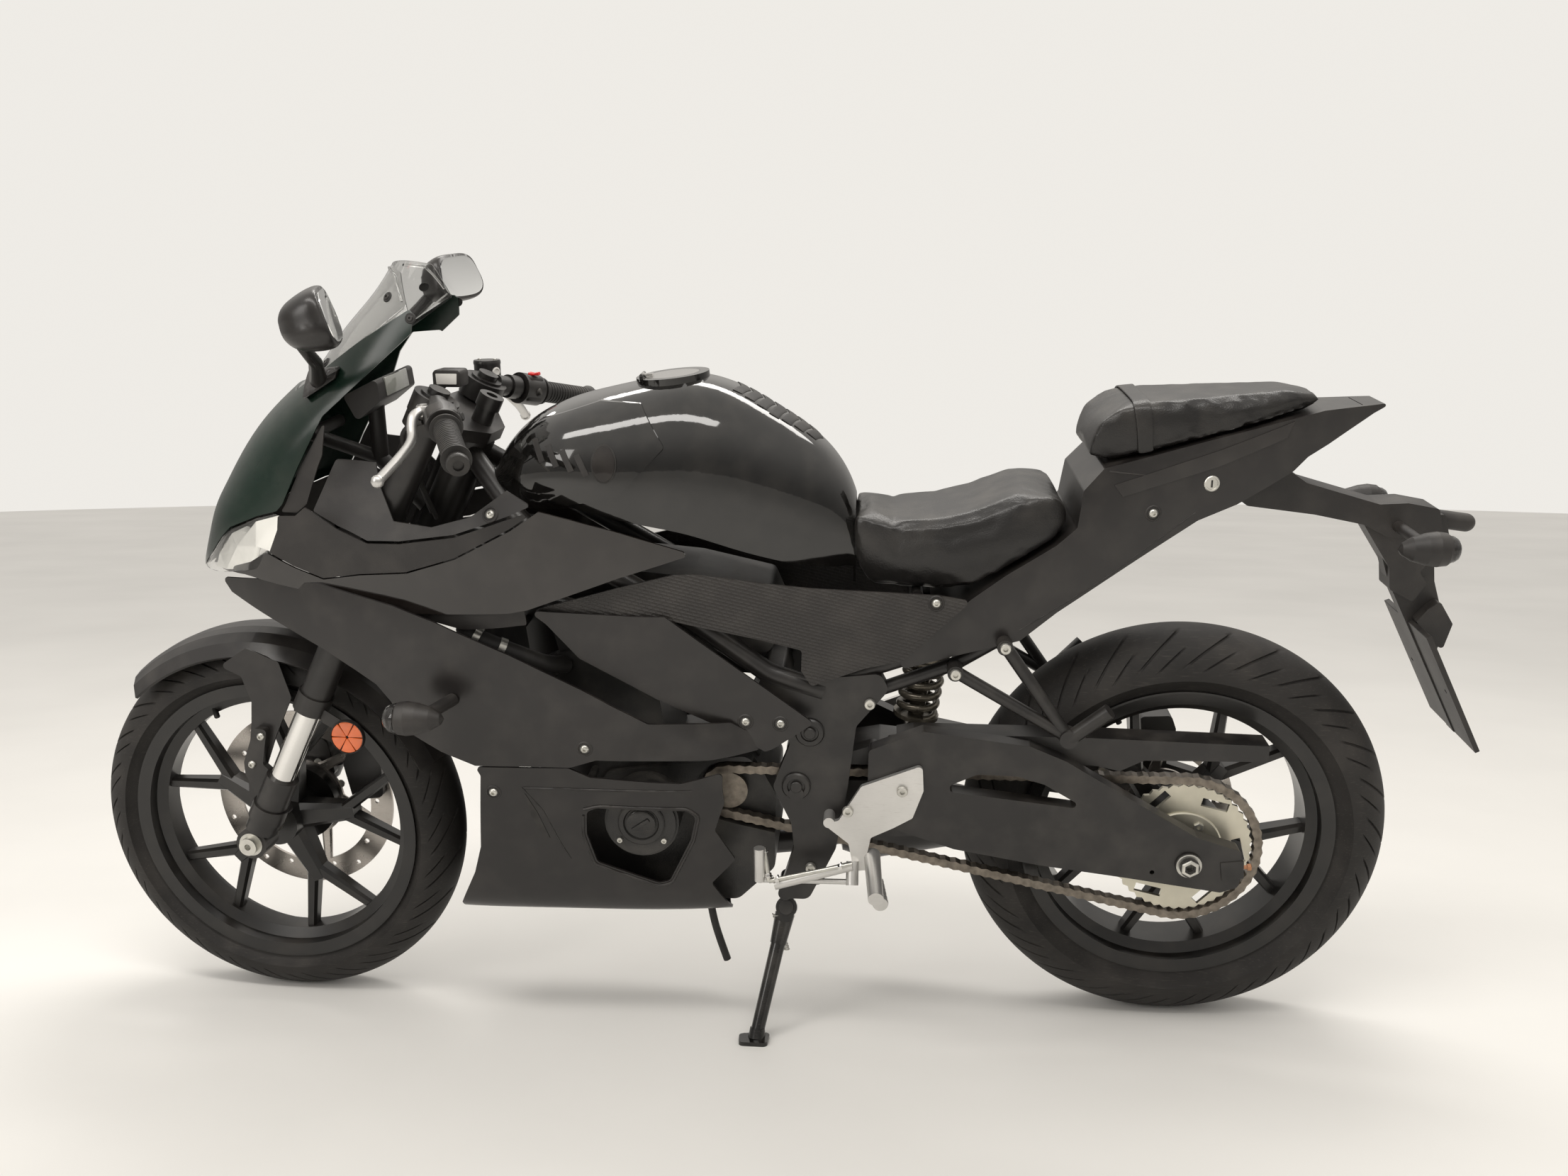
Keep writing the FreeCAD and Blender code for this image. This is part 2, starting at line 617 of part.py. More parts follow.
def front_fender():
    # A curved blade over the tyre with side skirts that reach the fork feet.
    crown = FRONT_RADIUS + 24

    def arch(half, drop_by):
        steps = (-1.0, -0.75, -0.5, -0.25, 0.0, 0.25, 0.5, 0.75, 1.0)
        return [(step * half, crown - drop_by - 34 * abs(step) ** 2.6) for step in steps]
    hoop = revolve_y(arch(71, 0) + list(reversed(arch(68, 3.2))), FRONT_AXLE)
    keep = [(FRONT_AXLE.x, FRONT_AXLE.z)]
    for degrees in (48, 66, 84, 102, 120, 138, 156):
        keep.append((FRONT_AXLE.x + 420 * math.cos(math.radians(degrees)),
                     FRONT_AXLE.z + 420 * math.sin(math.radians(degrees))))
    blade = hoop.common(side_plate(keep, 0, 300, 0.5))
    skirt = [(735, 560), (702, 545), (690, 505), (694, 470), (707, 400), (712, 340), (700, 338),
             (684, 385), (655, 455), (625, 515), (640, 570), (690, 590)]
    left = side_plate(skirt, SKIRT_Y, 3.2, 6)
    return fuse([blade, left, mirrored(left)])


# Chassis

def bent_tube(points, radius, bend):
    # A round tube along straight runs with bends of this radius.
    edges, last = [], points[0]
    for before, here, after in zip(points, points[1:], points[2:]):
        back, ahead = before - here, after - here
        half = back.getAngle(ahead) / 2
        reach = min(bend / math.tan(half), 0.45 * back.Length, 0.45 * ahead.Length)
        back.normalize()
        ahead.normalize()
        start, end = here + back * reach, here + ahead * reach
        depth = reach * math.tan(half)
        middle = here + (back + ahead).normalize() * (depth / math.sin(half) - depth)
        edges.append(Part.LineSegment(last, start).toShape())
        edges.append(Part.Arc(start, middle, end).toShape())
        last = end
    edges.append(Part.LineSegment(last, points[-1]).toShape())
    path = Part.Wire(edges)
    ring = Part.Wire([Part.Circle(points[0], (points[1] - points[0]).normalize(), radius).toShape()])
    return Part.Solid(path.makePipeShell([ring], True, True))


def frame_tubes(grow):
    # The tubes of one side, from the steering head to the swingarm plate and the seat.
    head = stem_point(880) + V(-12, 22, 0)
    low_head = stem_point(760) + V(-12, 22, 0)
    return [bent_tube([head, V(250, 104, 800), V(12, FRAME_Y, 661), V(-92, FRAME_Y, 585), V(-170, FRAME_Y, 560)],
                      15 + grow, 60),
            bent_tube([low_head, V(230, 104, 690), V(30, FRAME_Y, 636)], 13 + grow, 60),
            bent_tube([V(-150, FRAME_Y, 565), V(-330, 96, 622), V(-520, 78, 760)], 12 + grow, 60),
            bent_tube([V(-190, FRAME_Y - 2, 540), V(-353, 98, 598), V(-420, 92, 637), V(-440, 88, 690)], 10 + grow, 30)]


def panel_stays():
    # Short pegs from the tubes to the backs of the side panels, on both sides.
    pegs = []
    for x, z, depth, wall in ((150, 742, cowl_y, PANEL), (60, 689, side_cover_y, PANEL), (130, 663, vee_y, 5.0)):
        reach = depth(x, z) - wall - FACE_GAP
        pegs.append(rod(V(x, 104, z), V(x, reach, z), 6))
    return pegs + [mirrored(peg) for peg in pegs]


def stand_axis():
    # The bolt's direction, from where the leg points when down and when folded back.
    pivot = V(*STAND_PIVOT)
    down = (unplace(V(STAND_FOOT[0], STAND_FOOT[1], 0)) - pivot).normalize()
    folded = V(-0.974, 0.1, -0.2).normalize()
    return down.cross(folded).normalize()


def frame():
    head = rod(stem_point(712), stem_point(HEAD_TOP_Z), 29)
    left = frame_tubes(0)
    plate = [(-70, 600), (-150, 580), (-250, 590), (-262, 566), (-216, 510), (-204, 414), (-187, 316),
             (-147, 232), (-100, 232), (-126, 316), (-122, 356), (-96, 414), (-122, 482), (-96, 540)]
    left.append(side_plate(plate, FRAME_Y, FRAME_PLATE, 14))
    left = fuse(left)
    pieces = [head] + both(left)
    for x, z in ((-160, 556), (-158, 262)):
        pieces.append(cylinder(V(x, 0, z), 12, 2 * FRAME_Y))
    pieces.append(cylinder(V(-395, 0, 652), 10, 2 * (tail_y(-395, 652) - TAIL_WALL - FACE_GAP - 1.0)))
    pieces.append(cylinder(V(-325, 0, 622), 10, 190))
    pieces.append(cylinder(V(-300, 0, SEAT_BASE - FACE_GAP - 8), 8, 196))
    for side in (1, -1):
        pieces.append(side_plate([(-292, 606), (-308, 606), (-306, 698), (-294, 698)], side * 96, 8, 2))
    pieces += panel_stays()
    pieces.append(cylinder(V(SWING_PIVOT[0], 0, SWING_PIVOT[1]), 11, 2 * FRAME_Y + FRAME_PLATE + 12))
    axis, pivot = stand_axis(), V(*STAND_PIVOT)
    rise = axis.cross(X).normalize()
    if rise.z < 0:
        rise = rise * -1
    lug = pivot - axis * (STAND_EYE / 2 + FACE_GAP + 5)
    pieces.append(rod(lug - axis * 5, lug + axis * 5, 16))
    pieces.append(rod(lug - axis * 4, lug - axis * 4 + rise * 44, 8))
    pieces.append(cylinder(V(pivot.x, 85, lug.z + 38), 11, 56))
    pieces.append(rod(lug, pivot + axis * (STAND_EYE / 2 + 8), STAND_PIN))
    pieces.append(rod(pivot + axis * (STAND_EYE / 2 + FACE_GAP), pivot + axis * (STAND_EYE / 2 + 8), 11))
    body = fuse(pieces).cut(Part.makeCompound(exhaust(4.0)))
    return body.cut(rod(stem_point(600), stem_point(1000), STEM_RADIUS + 0.4))


def engine():
    # One plain block for crankcase, cylinders and gearbox, with the radiator and the round covers that show.
    case = side_plate([(190, 240), (215, 330), (150, 420), (-60, 450), (-96, 380), (-96, 270), (-40, 215), (120, 215)],
                      0, 190, 20)
    barrel = side_plate([(50, 400), (170, 400), (225, 600), (85, 628)], 0, 170, 14)
    radiator = side_plate([(296, 400), (330, 396), (352, 672), (322, 676)], 0, 220, 4)
    mount = side_plate([(150, 440), (310, 470), (325, 500), (200, 560)], 0, 40, 4)
    lug = side_plate([(-10, 430), (-70, 430), (-118, 540), (-110, 570), (-82, 570), (-60, 520)], 0, 110, 6)
    ends = cylinder(V(-100, 0, 553), 13, 2 * (FRAME_Y - FRAME_PLATE / 2 - FACE_GAP))
    generator = cylinder(V(92, 123, 369), 54, 58)
    boss = cylinder(V(92, 150, 369), 50, 12)
    cap = cylinder(V(92, 156, 369), 22, 6)
    clutch = cylinder(V(20, -118, 350), 66, 56)
    airbox = side_plate([(60, 600), (215, 596), (225, 640), (215, 700), (120, 726), (20, 716), (-90, 690), (-110, 640),
                         (-90, 604)], 0, 150, 12)
    stays = [cylinder(V(x, 0, z), 6, 2 * (fairing_y(x, z) - PANEL - FACE_GAP - 1.0))
             for x, z in ((185, 262), (170, 420), (330, 560))]
    body = fuse([case, barrel, airbox, radiator, mount, lug, ends, generator, boss, cap, clutch] + stays)
    drive = chain_belt(CHAIN_HEIGHT / 2 + 6, 60).common(Part.makeBox(400, 100, 400, V(-200, 74, 300)))
    body = body.cut(drive).cut(exhaust(3.0)[-1])
    return body.fuse(cylinder(V(FRONT_SPROCKET[0], 79.5, FRONT_SPROCKET[1]), 12, 11))


def exhaust(grow=0.0):
    # The silencer's lengths and then the pipe that feeds it from the cylinder head.
    along = V(-240, -32, 30).normalize()
    front = V(-186, -116, 224)

    def at(distance):
        return front + along * distance
    port = V(210.5, -48, 545)
    can = [rod(at(0), at(40), 32 + grow, 52 + grow), rod(at(40), at(190), 52 + grow),
           rod(at(190), at(235), 52 + grow, 34 + grow), rod(at(230), at(252), 25 + grow)]
    pipe = bent_tube([port, port + V(57.8, 0, -15.9), V(268, -48, 221), V(20, -60, 221), V(-130, -92, 222), at(12)],
                     21 + grow, 80)
    return can + [pipe]


def muffler():
    # A short low silencer on the right with its header pipe.
    along = V(-240, -32, 30).normalize()
    tip = V(-186, -116, 224) + along * 240
    return fuse(exhaust()).cut(rod(tip, tip + along * 20, 20))


def swingarm():
    pivot = V(SWING_PIVOT[0], 0, SWING_PIVOT[1])
    outline = [(-232, 376), (-234, 482), (-311, 512), (-460, 492), (-511, 470), (-606, 412), (-700, 356),
               (-762, 336), (-767, 306), (-762, 279), (-738, 270), (-605, 290), (-481, 307), (-357, 330), (-271, 360)]
    gap = [(-349, 430), (-388, 448), (-444, 446), (-482, 434), (-545, 396), (-482, 404), (-350, 420)]
    left = side_plate(outline, SWING_ARM_Y, ARM_THICK, 8).cut(side_plate(gap, SWING_ARM_Y, 60, 5))
    outline = [(-232, 380), (-234, 440), (-420, 400), (-700, 356), (-762, 336), (-767, 306), (-762, 279),
               (-738, 270), (-605, 290), (-481, 307), (-357, 330)]
    right = side_plate(outline, -SWING_ARM_Y, ARM_THICK, 8)
    tube = cylinder(pivot, 24, 2 * (FRAME_Y - 14))
    neck = side_plate([(-130, 382), (-128, 428), (-250, 450), (-345, 440), (-345, 380), (-250, 370)], 0, 60, 12)
    bridge = side_plate([(-255, 340), (-255, 400), (-330, 405), (-345, 380), (-320, 345)], 0, 2 * SWING_ARM_Y, 14)
    front = [side_plate([(-110, 385), (-112, 425), (-240, 470), (-300, 440), (-300, 350), (-240, 352)],
                        side * (FRAME_Y - 28), 26, 12) for side in (1, -1)]
    bars = fuse([left, right, neck, tube, bridge] + front)
    bars = bars.cut(cylinder(pivot, 11 + AXLE_FIT, 400))
    bars = bars.cut(cylinder(REAR_AXLE, AXLE_RADIUS + AXLE_FIT, 400))
    for side in (1, -1):
        face = V(SPOOL_HOLE[0], side * (SWING_ARM_Y + ARM_THICK / 2), SPOOL_HOLE[1])
        bars = bars.cut(cylinder(face, SPOOL_RADIUS, 2 * SPOOL_DEPTH))
    room = CHAIN_HEIGHT / 2 + 6
    band = chain_belt(room, CHAIN_WIDTH + 10).cut(chain_belt(-room, CHAIN_WIDTH * 3))
    return max(bars.cut(band).Solids, key=lambda s: s.Volume)


def rear_caliper():
    # The caliper over the rear disc and the bracket that holds it on the axle.
    outline = [(-640, 404), (-636, 440), (-650, 460), (-694, 462), (-702, 440), (-698, 402)]
    body = side_plate(outline, -80, 56, 8)
    body = body.cut(cylinder(REAR_AXLE + V(0, REAR_DISC_Y, 0), REAR_DISC_RADIUS + 5, DISC_THICK + 5))
    bracket = side_plate([(-706, 296), (-674, 296), (-652, 404), (-652, 452), (-688, 452), (-702, 400)], -111, 8.4, 6)
    return fuse([body, bracket]).cut(cylinder(REAR_AXLE, SPACER + 0.3, 400))


def rear_axle():
    outside = SWING_ARM_Y + ARM_THICK / 2
    inside = SWING_ARM_Y - ARM_THICK / 2
    pieces = [cylinder(REAR_AXLE, AXLE_RADIUS, 2 * outside + 24)]
    pieces.append(cylinder(REAR_AXLE + V(0, outside + 1.7, 0), 19, 3))
    pieces.append(cylinder(REAR_AXLE + V(0, outside + 8, 0), 14, 10))
    pieces.append(cylinder(REAR_AXLE - V(0, outside + 5.2, 0), 15, 10))
    right = abs(REAR_DISC_Y) - DISC_THICK / 2 + FACE_GAP
    left = CHAIN_Y - SPROCKET_THICK / 2 + FACE_GAP
    for side, start in ((1, left), (-1, right)):
        end = inside - 0.2
        pieces.append(cylinder(REAR_AXLE + V(0, side * (start + end) / 2, 0), SPACER, end - start))
    return fuse(pieces).cut(cylinder(REAR_AXLE, AXLE_BORE, 400))


def chain_guard():
    # A side strip inside the arm and a lid over the chain's upper run.
    outline = [(-250, 492), (-298, 498), (-555, 495), (-795, 487), (-795, 463), (-623, 462), (-590, 445), (-560, 452),
               (-300, 470)]
    outside = SWING_ARM_Y - ARM_THICK / 2 - FACE_GAP
    side = side_plate(outline, outside - 2, 4, 4)
    lid = [(-262, 491), (-298, 498), (-555, 495), (-795, 487), (-795, 484), (-555, 492), (-298, 495)]
    return side.fuse(side_plate(lid, (outside + 74) / 2, outside - 74, 0.5)).removeSplitter()


def rear_shock():
    top, foot = V(-322, 0, 596.7), V(-300, 0, 460.3)
    axis = (foot - top).normalize()
    body = rod(top + axis * 8, foot - axis * 8, 12)
    seats = [rod(top + axis * 17, top + axis * 23, 34), rod(foot - axis * 25, foot - axis * 19, 34)]
    eyes = [cylinder(top, 15, 30), cylinder(foot, 15, 30)]
    turn = Part.makeHelix(SPRING_PITCH, SPRING_TURNS * SPRING_PITCH, SPRING_RADIUS)
    ring = Part.Wire([Part.Circle(V(SPRING_RADIUS, 0, 0), Y, SPRING_WIRE).toShape()])
    coil = Part.Solid(Part.Wire(turn.Edges).makePipeShell([ring], True, True))
    coil.rotate(V(0, 0, 0), Z.cross(axis), math.degrees(Z.getAngle(axis)))
    coil.translate(top + axis * 23.5)
    return fuse([body] + seats + eyes + [coil])


def side_stand():
    # Built where it parks: the leg runs from its bolt to a foot flat on the ground.
    pivot = place(Part.Vertex(V(*STAND_PIVOT))).Point
    tip = place(Part.Vertex(V(*STAND_PIVOT) + stand_axis())).Point
    axis = tip - pivot
    foot = V(STAND_FOOT[0], STAND_FOOT[1], 0)
    ankle = foot + V(-4, -8, 14)
    start = pivot + (ankle - pivot) * 0.08
    eye = rod(pivot - axis * (STAND_EYE / 2), pivot + axis * (STAND_EYE / 2), 16)
    leg = rod(start, ankle, 11, 10)
    blade = rod(pivot + (ankle - pivot) * 0.05, pivot + (ankle - pivot) * 0.3, 15, 12)
    pad = [(foot.x - 22, foot.y - 20), (foot.x + 24, foot.y - 14), (foot.x + 22, foot.y + 16), (foot.x - 20, foot.y + 18)]
    sole = Part.Face(rounded_wire([V(x, y, 0) for x, y in pad], 8)).extrude(V(0, 0, 6))
    collar = rod(V(foot.x - 3, foot.y - 5, 4), ankle + V(0, 0, 4), 13, 11)
    body = fuse([eye, leg, blade, sole, collar])
    room = STAND_EYE / 2 - FACE_GAP
    for side in (1, -1):
        body = body.cut(rod(pivot + axis * (side * room), pivot + axis * (side * 60), 22))
    return body.cut(rod(pivot - axis * 60, pivot + axis * 60, STAND_PIN + TUBE_FIT))


# Bodywork

FAIRING_WIDTH = [(740, 60), (620, 125), (480, 170), (320, 195), (150, 195), (0, 182), (-120, 150)]
FAIRING_SHAPE = [(160, 0.55), (240, 0.76), (340, 0.88), (450, 0.965), (560, 1.0), (660, 0.97), (780, 0.86)]


def fairing_y(x, z):
    # The side surface, with a facet turned in above a crease at its rear tip.
    facet = 0.845 * (z - 537) - 0.535 * (x - 70)
    return spread(x, FAIRING_WIDTH) * spread(z, FAIRING_SHAPE) - 0.34 * max(0.0, facet)


def skin_slab(depth_at, x_range, z_range, thick, x_steps=9, z_steps=7):
    # A smooth wall whose outer face follows depth_at(x, z), with the same thickness in Y.
    grid = []
    for i in range(x_steps):
        x = x_range[0] + (x_range[1] - x_range[0]) * i / (x_steps - 1)
        row = []
        for j in range(z_steps):
            z = z_range[0] + (z_range[1] - z_range[0]) * j / (z_steps - 1)
            row.append(V(x, depth_at(x, z), z))
        grid.append(row)
    surface = Part.BSplineSurface()
    surface.interpolate(grid)
    return surface.toShape().extrude(V(0, -thick, 0))


def panel(depth_at, outline, thick=PANEL, corner=5.0, holes=(), margin=20, steps=(9, 7)):
    xs = [p[0] for p in outline]
    zs = [p[1] for p in outline]
    slab = skin_slab(depth_at, (min(xs) - margin, max(xs) + margin), (min(zs) - margin, max(zs) + margin), thick, *steps)
    prism = Part.Face(rounded_wire([V(x, 0, z) for x, z in outline], corner)).extrude(V(0, 400, 0))
    out = slab.common(prism)
    for hole in holes:
        out = out.cut(Part.Face(rounded_wire([V(x, 0, z) for x, z in hole], 4)).extrude(V(0, 400, 0)))
    return out


def side_fairings():
    # The lower side panels, and the V-shaped panels that fill the gap behind them.
    upper = [(706, 709), (620, 719), (533, 722), (419, 699), (362, 681), (257, 636), (160, 588), (70, 537),
             (-41, 527), (-88, 495), (-78, 483), (-10, 478), (145, 482), (183, 470), (318, 470), (329, 475), (365, 490),
             (405, 513), (434, 562), (454, 585), (486, 604), (531, 628), (595, 654), (689, 690)]
    vee = [(238, 687), (88, 680), (48, 680), (-157, 524), (-102, 486), (-88, 480), (-27, 517), (62, 558),
           (170, 618), (214, 668)]
    return both(panel(fairing_y, upper, steps=(24, 11))) + both(panel(vee_y, vee))


def vee_y(x, z):
    return 150 - 0.03 * max(0.0, -x)


def belly_pan():
    side = [(318, 468), (185, 468), (156, 454), (30, 443), (-29, 456), (-28, 431), (-30, 408), (-15, 362), (-42, 308),
            (-6, 268), (-34, 215), (-10, 170), (371, 170), (371, 224), (341, 286), (326, 333), (312, 454)]
    window = [(165, 398), (150, 404), (23, 398), (11, 386), (20, 348), (54, 276), (70, 272), (128, 297), (157, 310),
              (168, 360)]

    def section(x, inset):
        points = []
        for z in (520, 468, 400, 330, 270):
            points.append(V(x, fairing_y(x, z) - inset, z))
        points += [V(x, fairing_y(x, 225) - 6 - inset * 0.8, 218 + inset * 0.6), V(x, 78, 196 + inset), V(x, 0, 184 + inset)]
        points += [V(x, -p.y, p.z) for p in reversed(points[:-1])]
        curve = Part.BSplineCurve()
        curve.interpolate(points)
        lid = Part.LineSegment(points[-1], points[0])
        return Part.Wire([curve.toShape(), lid.toShape()])
    stations = (420, 330, 220, 110, 0, -90)
    outer = loft([section(x, 0) for x in stations])
    inner = loft([section(x, PANEL) for x in (430, 330, 220, 110, 0, -100)])
    cut = Part.Face(rounded_wire([V(x, -400, z) for x, z in side], 6)).extrude(V(0, 800, 0))
    hole = Part.Face(rounded_wire([V(x, 0, z) for x, z in window], 10)).extrude(V(0, 400, 0))
    shell = outer.cut(inner).common(cut)
    drain = rod(V(12, 60, 140), V(10, 60, 240), 12)
    return shell.cut(hole).cut(mirrored(hole)).cut(drain)


def cowl_y(x, z):
    widths = [(705, 88), (640, 116), (590, 130), (500, 145), (400, 158), (300, 169), (150, 163), (0, 143)]
    return spread(x, widths) - 0.04 * max(0.0, z - 760)


def mid_cowls():
    outline = [(690, 728), (640, 745), (613, 761), (570, 742), (527, 727), (472, 736), (402, 742), (330, 765),
               (250, 806), (211, 832), (110, 803), (19, 772), (16, 765), (108, 738), (234, 694), (261, 689), (405, 684),
               (560, 710), (640, 722)]
    return both(panel(cowl_y, outline))


def side_covers():
    outline = [(243, 682), (115, 719), (35, 738), (5, 739), (-83, 726), (-152, 718), (-328, 708), (-373, 700),
               (-281, 612), (-228, 601), (-153, 574), (-139, 597), (-140, 628), (-81, 644), (47, 673), (106, 675),
               (167, 661)]
    return both(panel(side_cover_y, outline))


def side_cover_y(x, z):
    return spread(x, [(260, 140), (100, 144), (-50, 138), (-200, 132), (-380, 126)]) - 0.0002 * (z - 680) ** 2


TANK_TOP = [(307, 862), (260, 922), (209, 952), (159, 967), (109, 979), (60, 988), (25, 992), (-9, 990), (-38, 980),
            (-86, 955), (-134, 926), (-182, 882), (-206, 843), (-215, 814)]
TANK_HALF = [(307, 66), (250, 104), (200, 128), (150, 138), (100, 140), (50, 138), (0, 130), (-50, 118), (-100, 105),
             (-150, 90), (-215, 66)]
TANK_BASE = [(307, 800), (220, 794), (100, 754), (20, 733), (-80, 705), (-150, 697), (-215, 706)]


def tank_section(x, grow=0.0, foot=0.0):
    # A rounded top, fullest at the knees and tucked in below.
    top, half, base = spread(x, TANK_TOP) + grow, spread(x, TANK_HALF) + grow, spread(x, TANK_BASE) + foot
    hip = base + (top - base) * 0.42
    ring = [(0.0, top), (0.42, top - 0.06 * (top - hip)), (0.76, top - 0.28 * (top - hip)), (0.95, top - 0.62 * (top - hip)),
            (1.0, hip), (0.95, hip - 0.55 * (hip - base)), (0.87, base)]
    left = [V(x, half * share, z) for share, z in ring]
    right = [V(x, -half * share, z) for share, z in reversed(ring[1:])]
    curve = Part.BSplineCurve()
    curve.interpolate(list(reversed(left)) + list(reversed(right)))
    points = list(reversed(left)) + list(reversed(right))
    lid = Part.LineSegment(points[-1], points[0])
    return Part.Wire([curve.toShape(), lid.toShape()])


def tank_solid(grow=0.0, foot=0.0):
    ends = (300 + grow, -213 - grow)
    stations = (ends[0], 250, 200, 140, 80, 20, -40, -100, -150, -185, ends[1])
    return loft([tank_section(x, grow, foot) for x in stations])


def fuel_tank():
    # A sheet shell with an open base, a filler neck and the lid's hinge ears.
    neck = Part.makeCylinder(52, 22, LID_SEAT - LID_AXIS * (22 - LID_THICK), LID_AXIS)
    seat = Part.makeCylinder(LID_RADIUS + 0.5, 30, LID_SEAT - LID_AXIS * FACE_GAP, LID_AXIS)
    throat = Part.makeCylinder(FILLER_BORE, 60, LID_SEAT - LID_AXIS * 40, LID_AXIS)
    hinge = lid_hinge()
    ears = []
    for y in (11, -11):
        ears.append(rod(hinge + V(0, y - 3.5, 0), hinge + V(0, y + 3.5, 0), 2.4))
        ears.append(Part.makeBox(4.8, 7, 6, hinge + V(-2.4, y - 3.5, -6)))
    tubes = frame_tubes(1.5)[:2]
    head = rod(stem_point(712), stem_point(930), 30)
    hollow = tank_solid(-TANK_WALL, -30.0)
    shell = fuse([tank_solid(), neck] + ears).cut(hollow)
    return shell.cut(seat).cut(throat).cut(Part.makeCompound(tubes + [mirrored(t) for t in tubes] + [head]))


LID_AXIS = V(0.1, 0, 1).normalize()
LID_SEAT = V(46, 0, 984)
LID_RADIUS = 38.0
LID_THICK = 9.0
FILLER_BORE = 24.0


def lid_hinge():
    # The lid's hinge line, in front of its rim and just above it.
    return LID_SEAT + LID_AXIS.cross(Y) * -(LID_RADIUS + 5) + LID_AXIS * (LID_THICK + 3)


def filler_lid():
    hinge = lid_hinge()
    lid = Part.makeCylinder(LID_RADIUS, LID_THICK, LID_SEAT, LID_AXIS)
    barrel = rod(hinge - V(0, 7, 0), hinge + V(0, 7, 0), 2.4)
    strap = Part.makeBox(15, 12, 2.0, hinge + V(-15, -6, -1.0))
    riser = Part.makeBox(8, 12, 6, hinge + V(-15, -6, -4.5))
    return fuse([lid, strap, riser, barrel])


def tank_side_covers():
    outline = [(292, 874), (224, 940), (138, 966), (79, 966), (43, 913), (107, 848), (179, 833), (208, 841), (253, 862)]
    prism = Part.Face(rounded_wire([V(x, 20, z) for x, z in outline], 5)).extrude(V(0, 300, 0))
    shell = tank_solid(4.0).cut(tank_solid(0.3)).common(prism)
    return both(shell)


def seat_section(x, top, half, base):
    ring = [(0.0, top), (0.55, top - 3), (0.85, top - 18), (1.0, (top + base) / 2), (0.96, base + 4), (0.8, base)]
    left = [V(x, half * share, z) for share, z in ring]
    right = [V(x, -half * share, z) for share, z in reversed(ring[1:])]
    points = list(reversed(left)) + list(reversed(right))
    curve = Part.BSplineCurve()
    curve.interpolate(points)
    return Part.Wire([curve.toShape(), Part.LineSegment(points[-1], points[0]).toShape()])


def rider_seat():
    outline = [(-215, 815), (-268, 798), (-327, 803), (-375, 814), (-424, 834), (-453, 843), (-482, 844), (-497, 836),
               (-505, 818), (-507, 800), (-486, 779), (-424, 738), (-377, 712), (-330, SEAT_BASE), (-235, SEAT_BASE),
               (-215, 742)]
    return outline_solid(rider_y, outline, 0)


def rider_y(x, z):
    width = spread(x, [(-215, 84), (-268, 100), (-327, 112), (-375, 116), (-424, 114), (-470, 108), (-510, 92)])
    return width - 0.0022 * (z - 780) ** 2


def pillion_seat():
    top = [(-522, 886), (-527, 913), (-537, 938), (-566, 958), (-617, 963), (-712, 968), (-806, 974), (-839, 970),
           (-847, 962), (-843, 953)]
    under = [(x, z + 0.4) for x, z in ((-780, 937), (-690, 916), (-599, 893), (-549, 880.6))]
    return outline_solid(pillion_y, top + under, 0)


def pillion_y(x, z):
    return spread(x, [(-520, 74), (-560, 88), (-610, 92), (-700, 84), (-790, 64), (-850, 40)]) - 0.004 * (z - 920) ** 2


TAIL_TOP = [(-275, 614), (-373, 699), (-420, 734), (-486, 776), (-513, 800), (-520, 850), (-547, 880), (-599, 893), (-690, 916),
            (-780, 937), (-842, 950), (-938, 957)]
TAIL_FOOT = [(-912, 944), (-852, 904), (-824, 888), (-805, 869), (-730, 826), (-678, 805), (-491, 679), (-442, 639),
             (-281, 600)]
TAIL_HALF = [(-270, 122), (-373, 120), (-490, 114), (-575, 102), (-690, 86), (-800, 66), (-880, 42), (-944, 14)]


def outline_solid(depth_at, outline, inset, margin=25):
    # A body as wide as depth_at on both sides of the middle, with this side outline.
    face = Part.Face(rounded_wire([V(x, 0, z) for x, z in outline], 6))
    if inset:
        face = Part.Face(face.makeOffset2D(-inset).Wires[0])
    xs = [p[0] for p in outline]
    zs = [p[1] for p in outline]
    slab = skin_slab(lambda x, z: depth_at(x, z) - inset, (min(xs) - margin, max(xs) + margin),
                     (min(zs) - margin, max(zs) + margin), 400)
    half = slab.common(face.extrude(V(0, 400, 0)))
    return fuse(both(half))


def tail_y(x, z):
    middle = (spread(x, TAIL_TOP) + spread(x, TAIL_FOOT)) / 2
    return spread(x, TAIL_HALF) - 0.0012 * (z - middle) ** 2


def tail_cowl():
    outline = TAIL_TOP + TAIL_FOOT
    outer = outline_solid(tail_y, outline, 0)
    inner = outline_solid(tail_y, outline, TAIL_WALL)
    mouth = side_plate([(-200, 560), (-380, 700), (-345, 560)], 0, 216, 1)
    lamp = side_plate([(x + dx, z) for (x, z), dx in zip(TAIL_LIGHT, (2, 6, 6, 2))], 0, TAIL_LIGHT_WIDE + 1, 1)
    tubes = frame_tubes(1.0)[2:]
    return outer.cut(inner).cut(mouth).cut(lamp).cut(Part.makeCompound(tubes + [mirrored(t) for t in tubes]))


TAIL_LIGHT = [(-848, 918), (-904, 955), (-908, 938), (-858, 904)]
TAIL_LIGHT_WIDE = 60.0


def tail_light():
    return side_plate([(-849, 916), (-902, 951), (-905, 941), (-858, 909)], 0, TAIL_LIGHT_WIDE, 2)


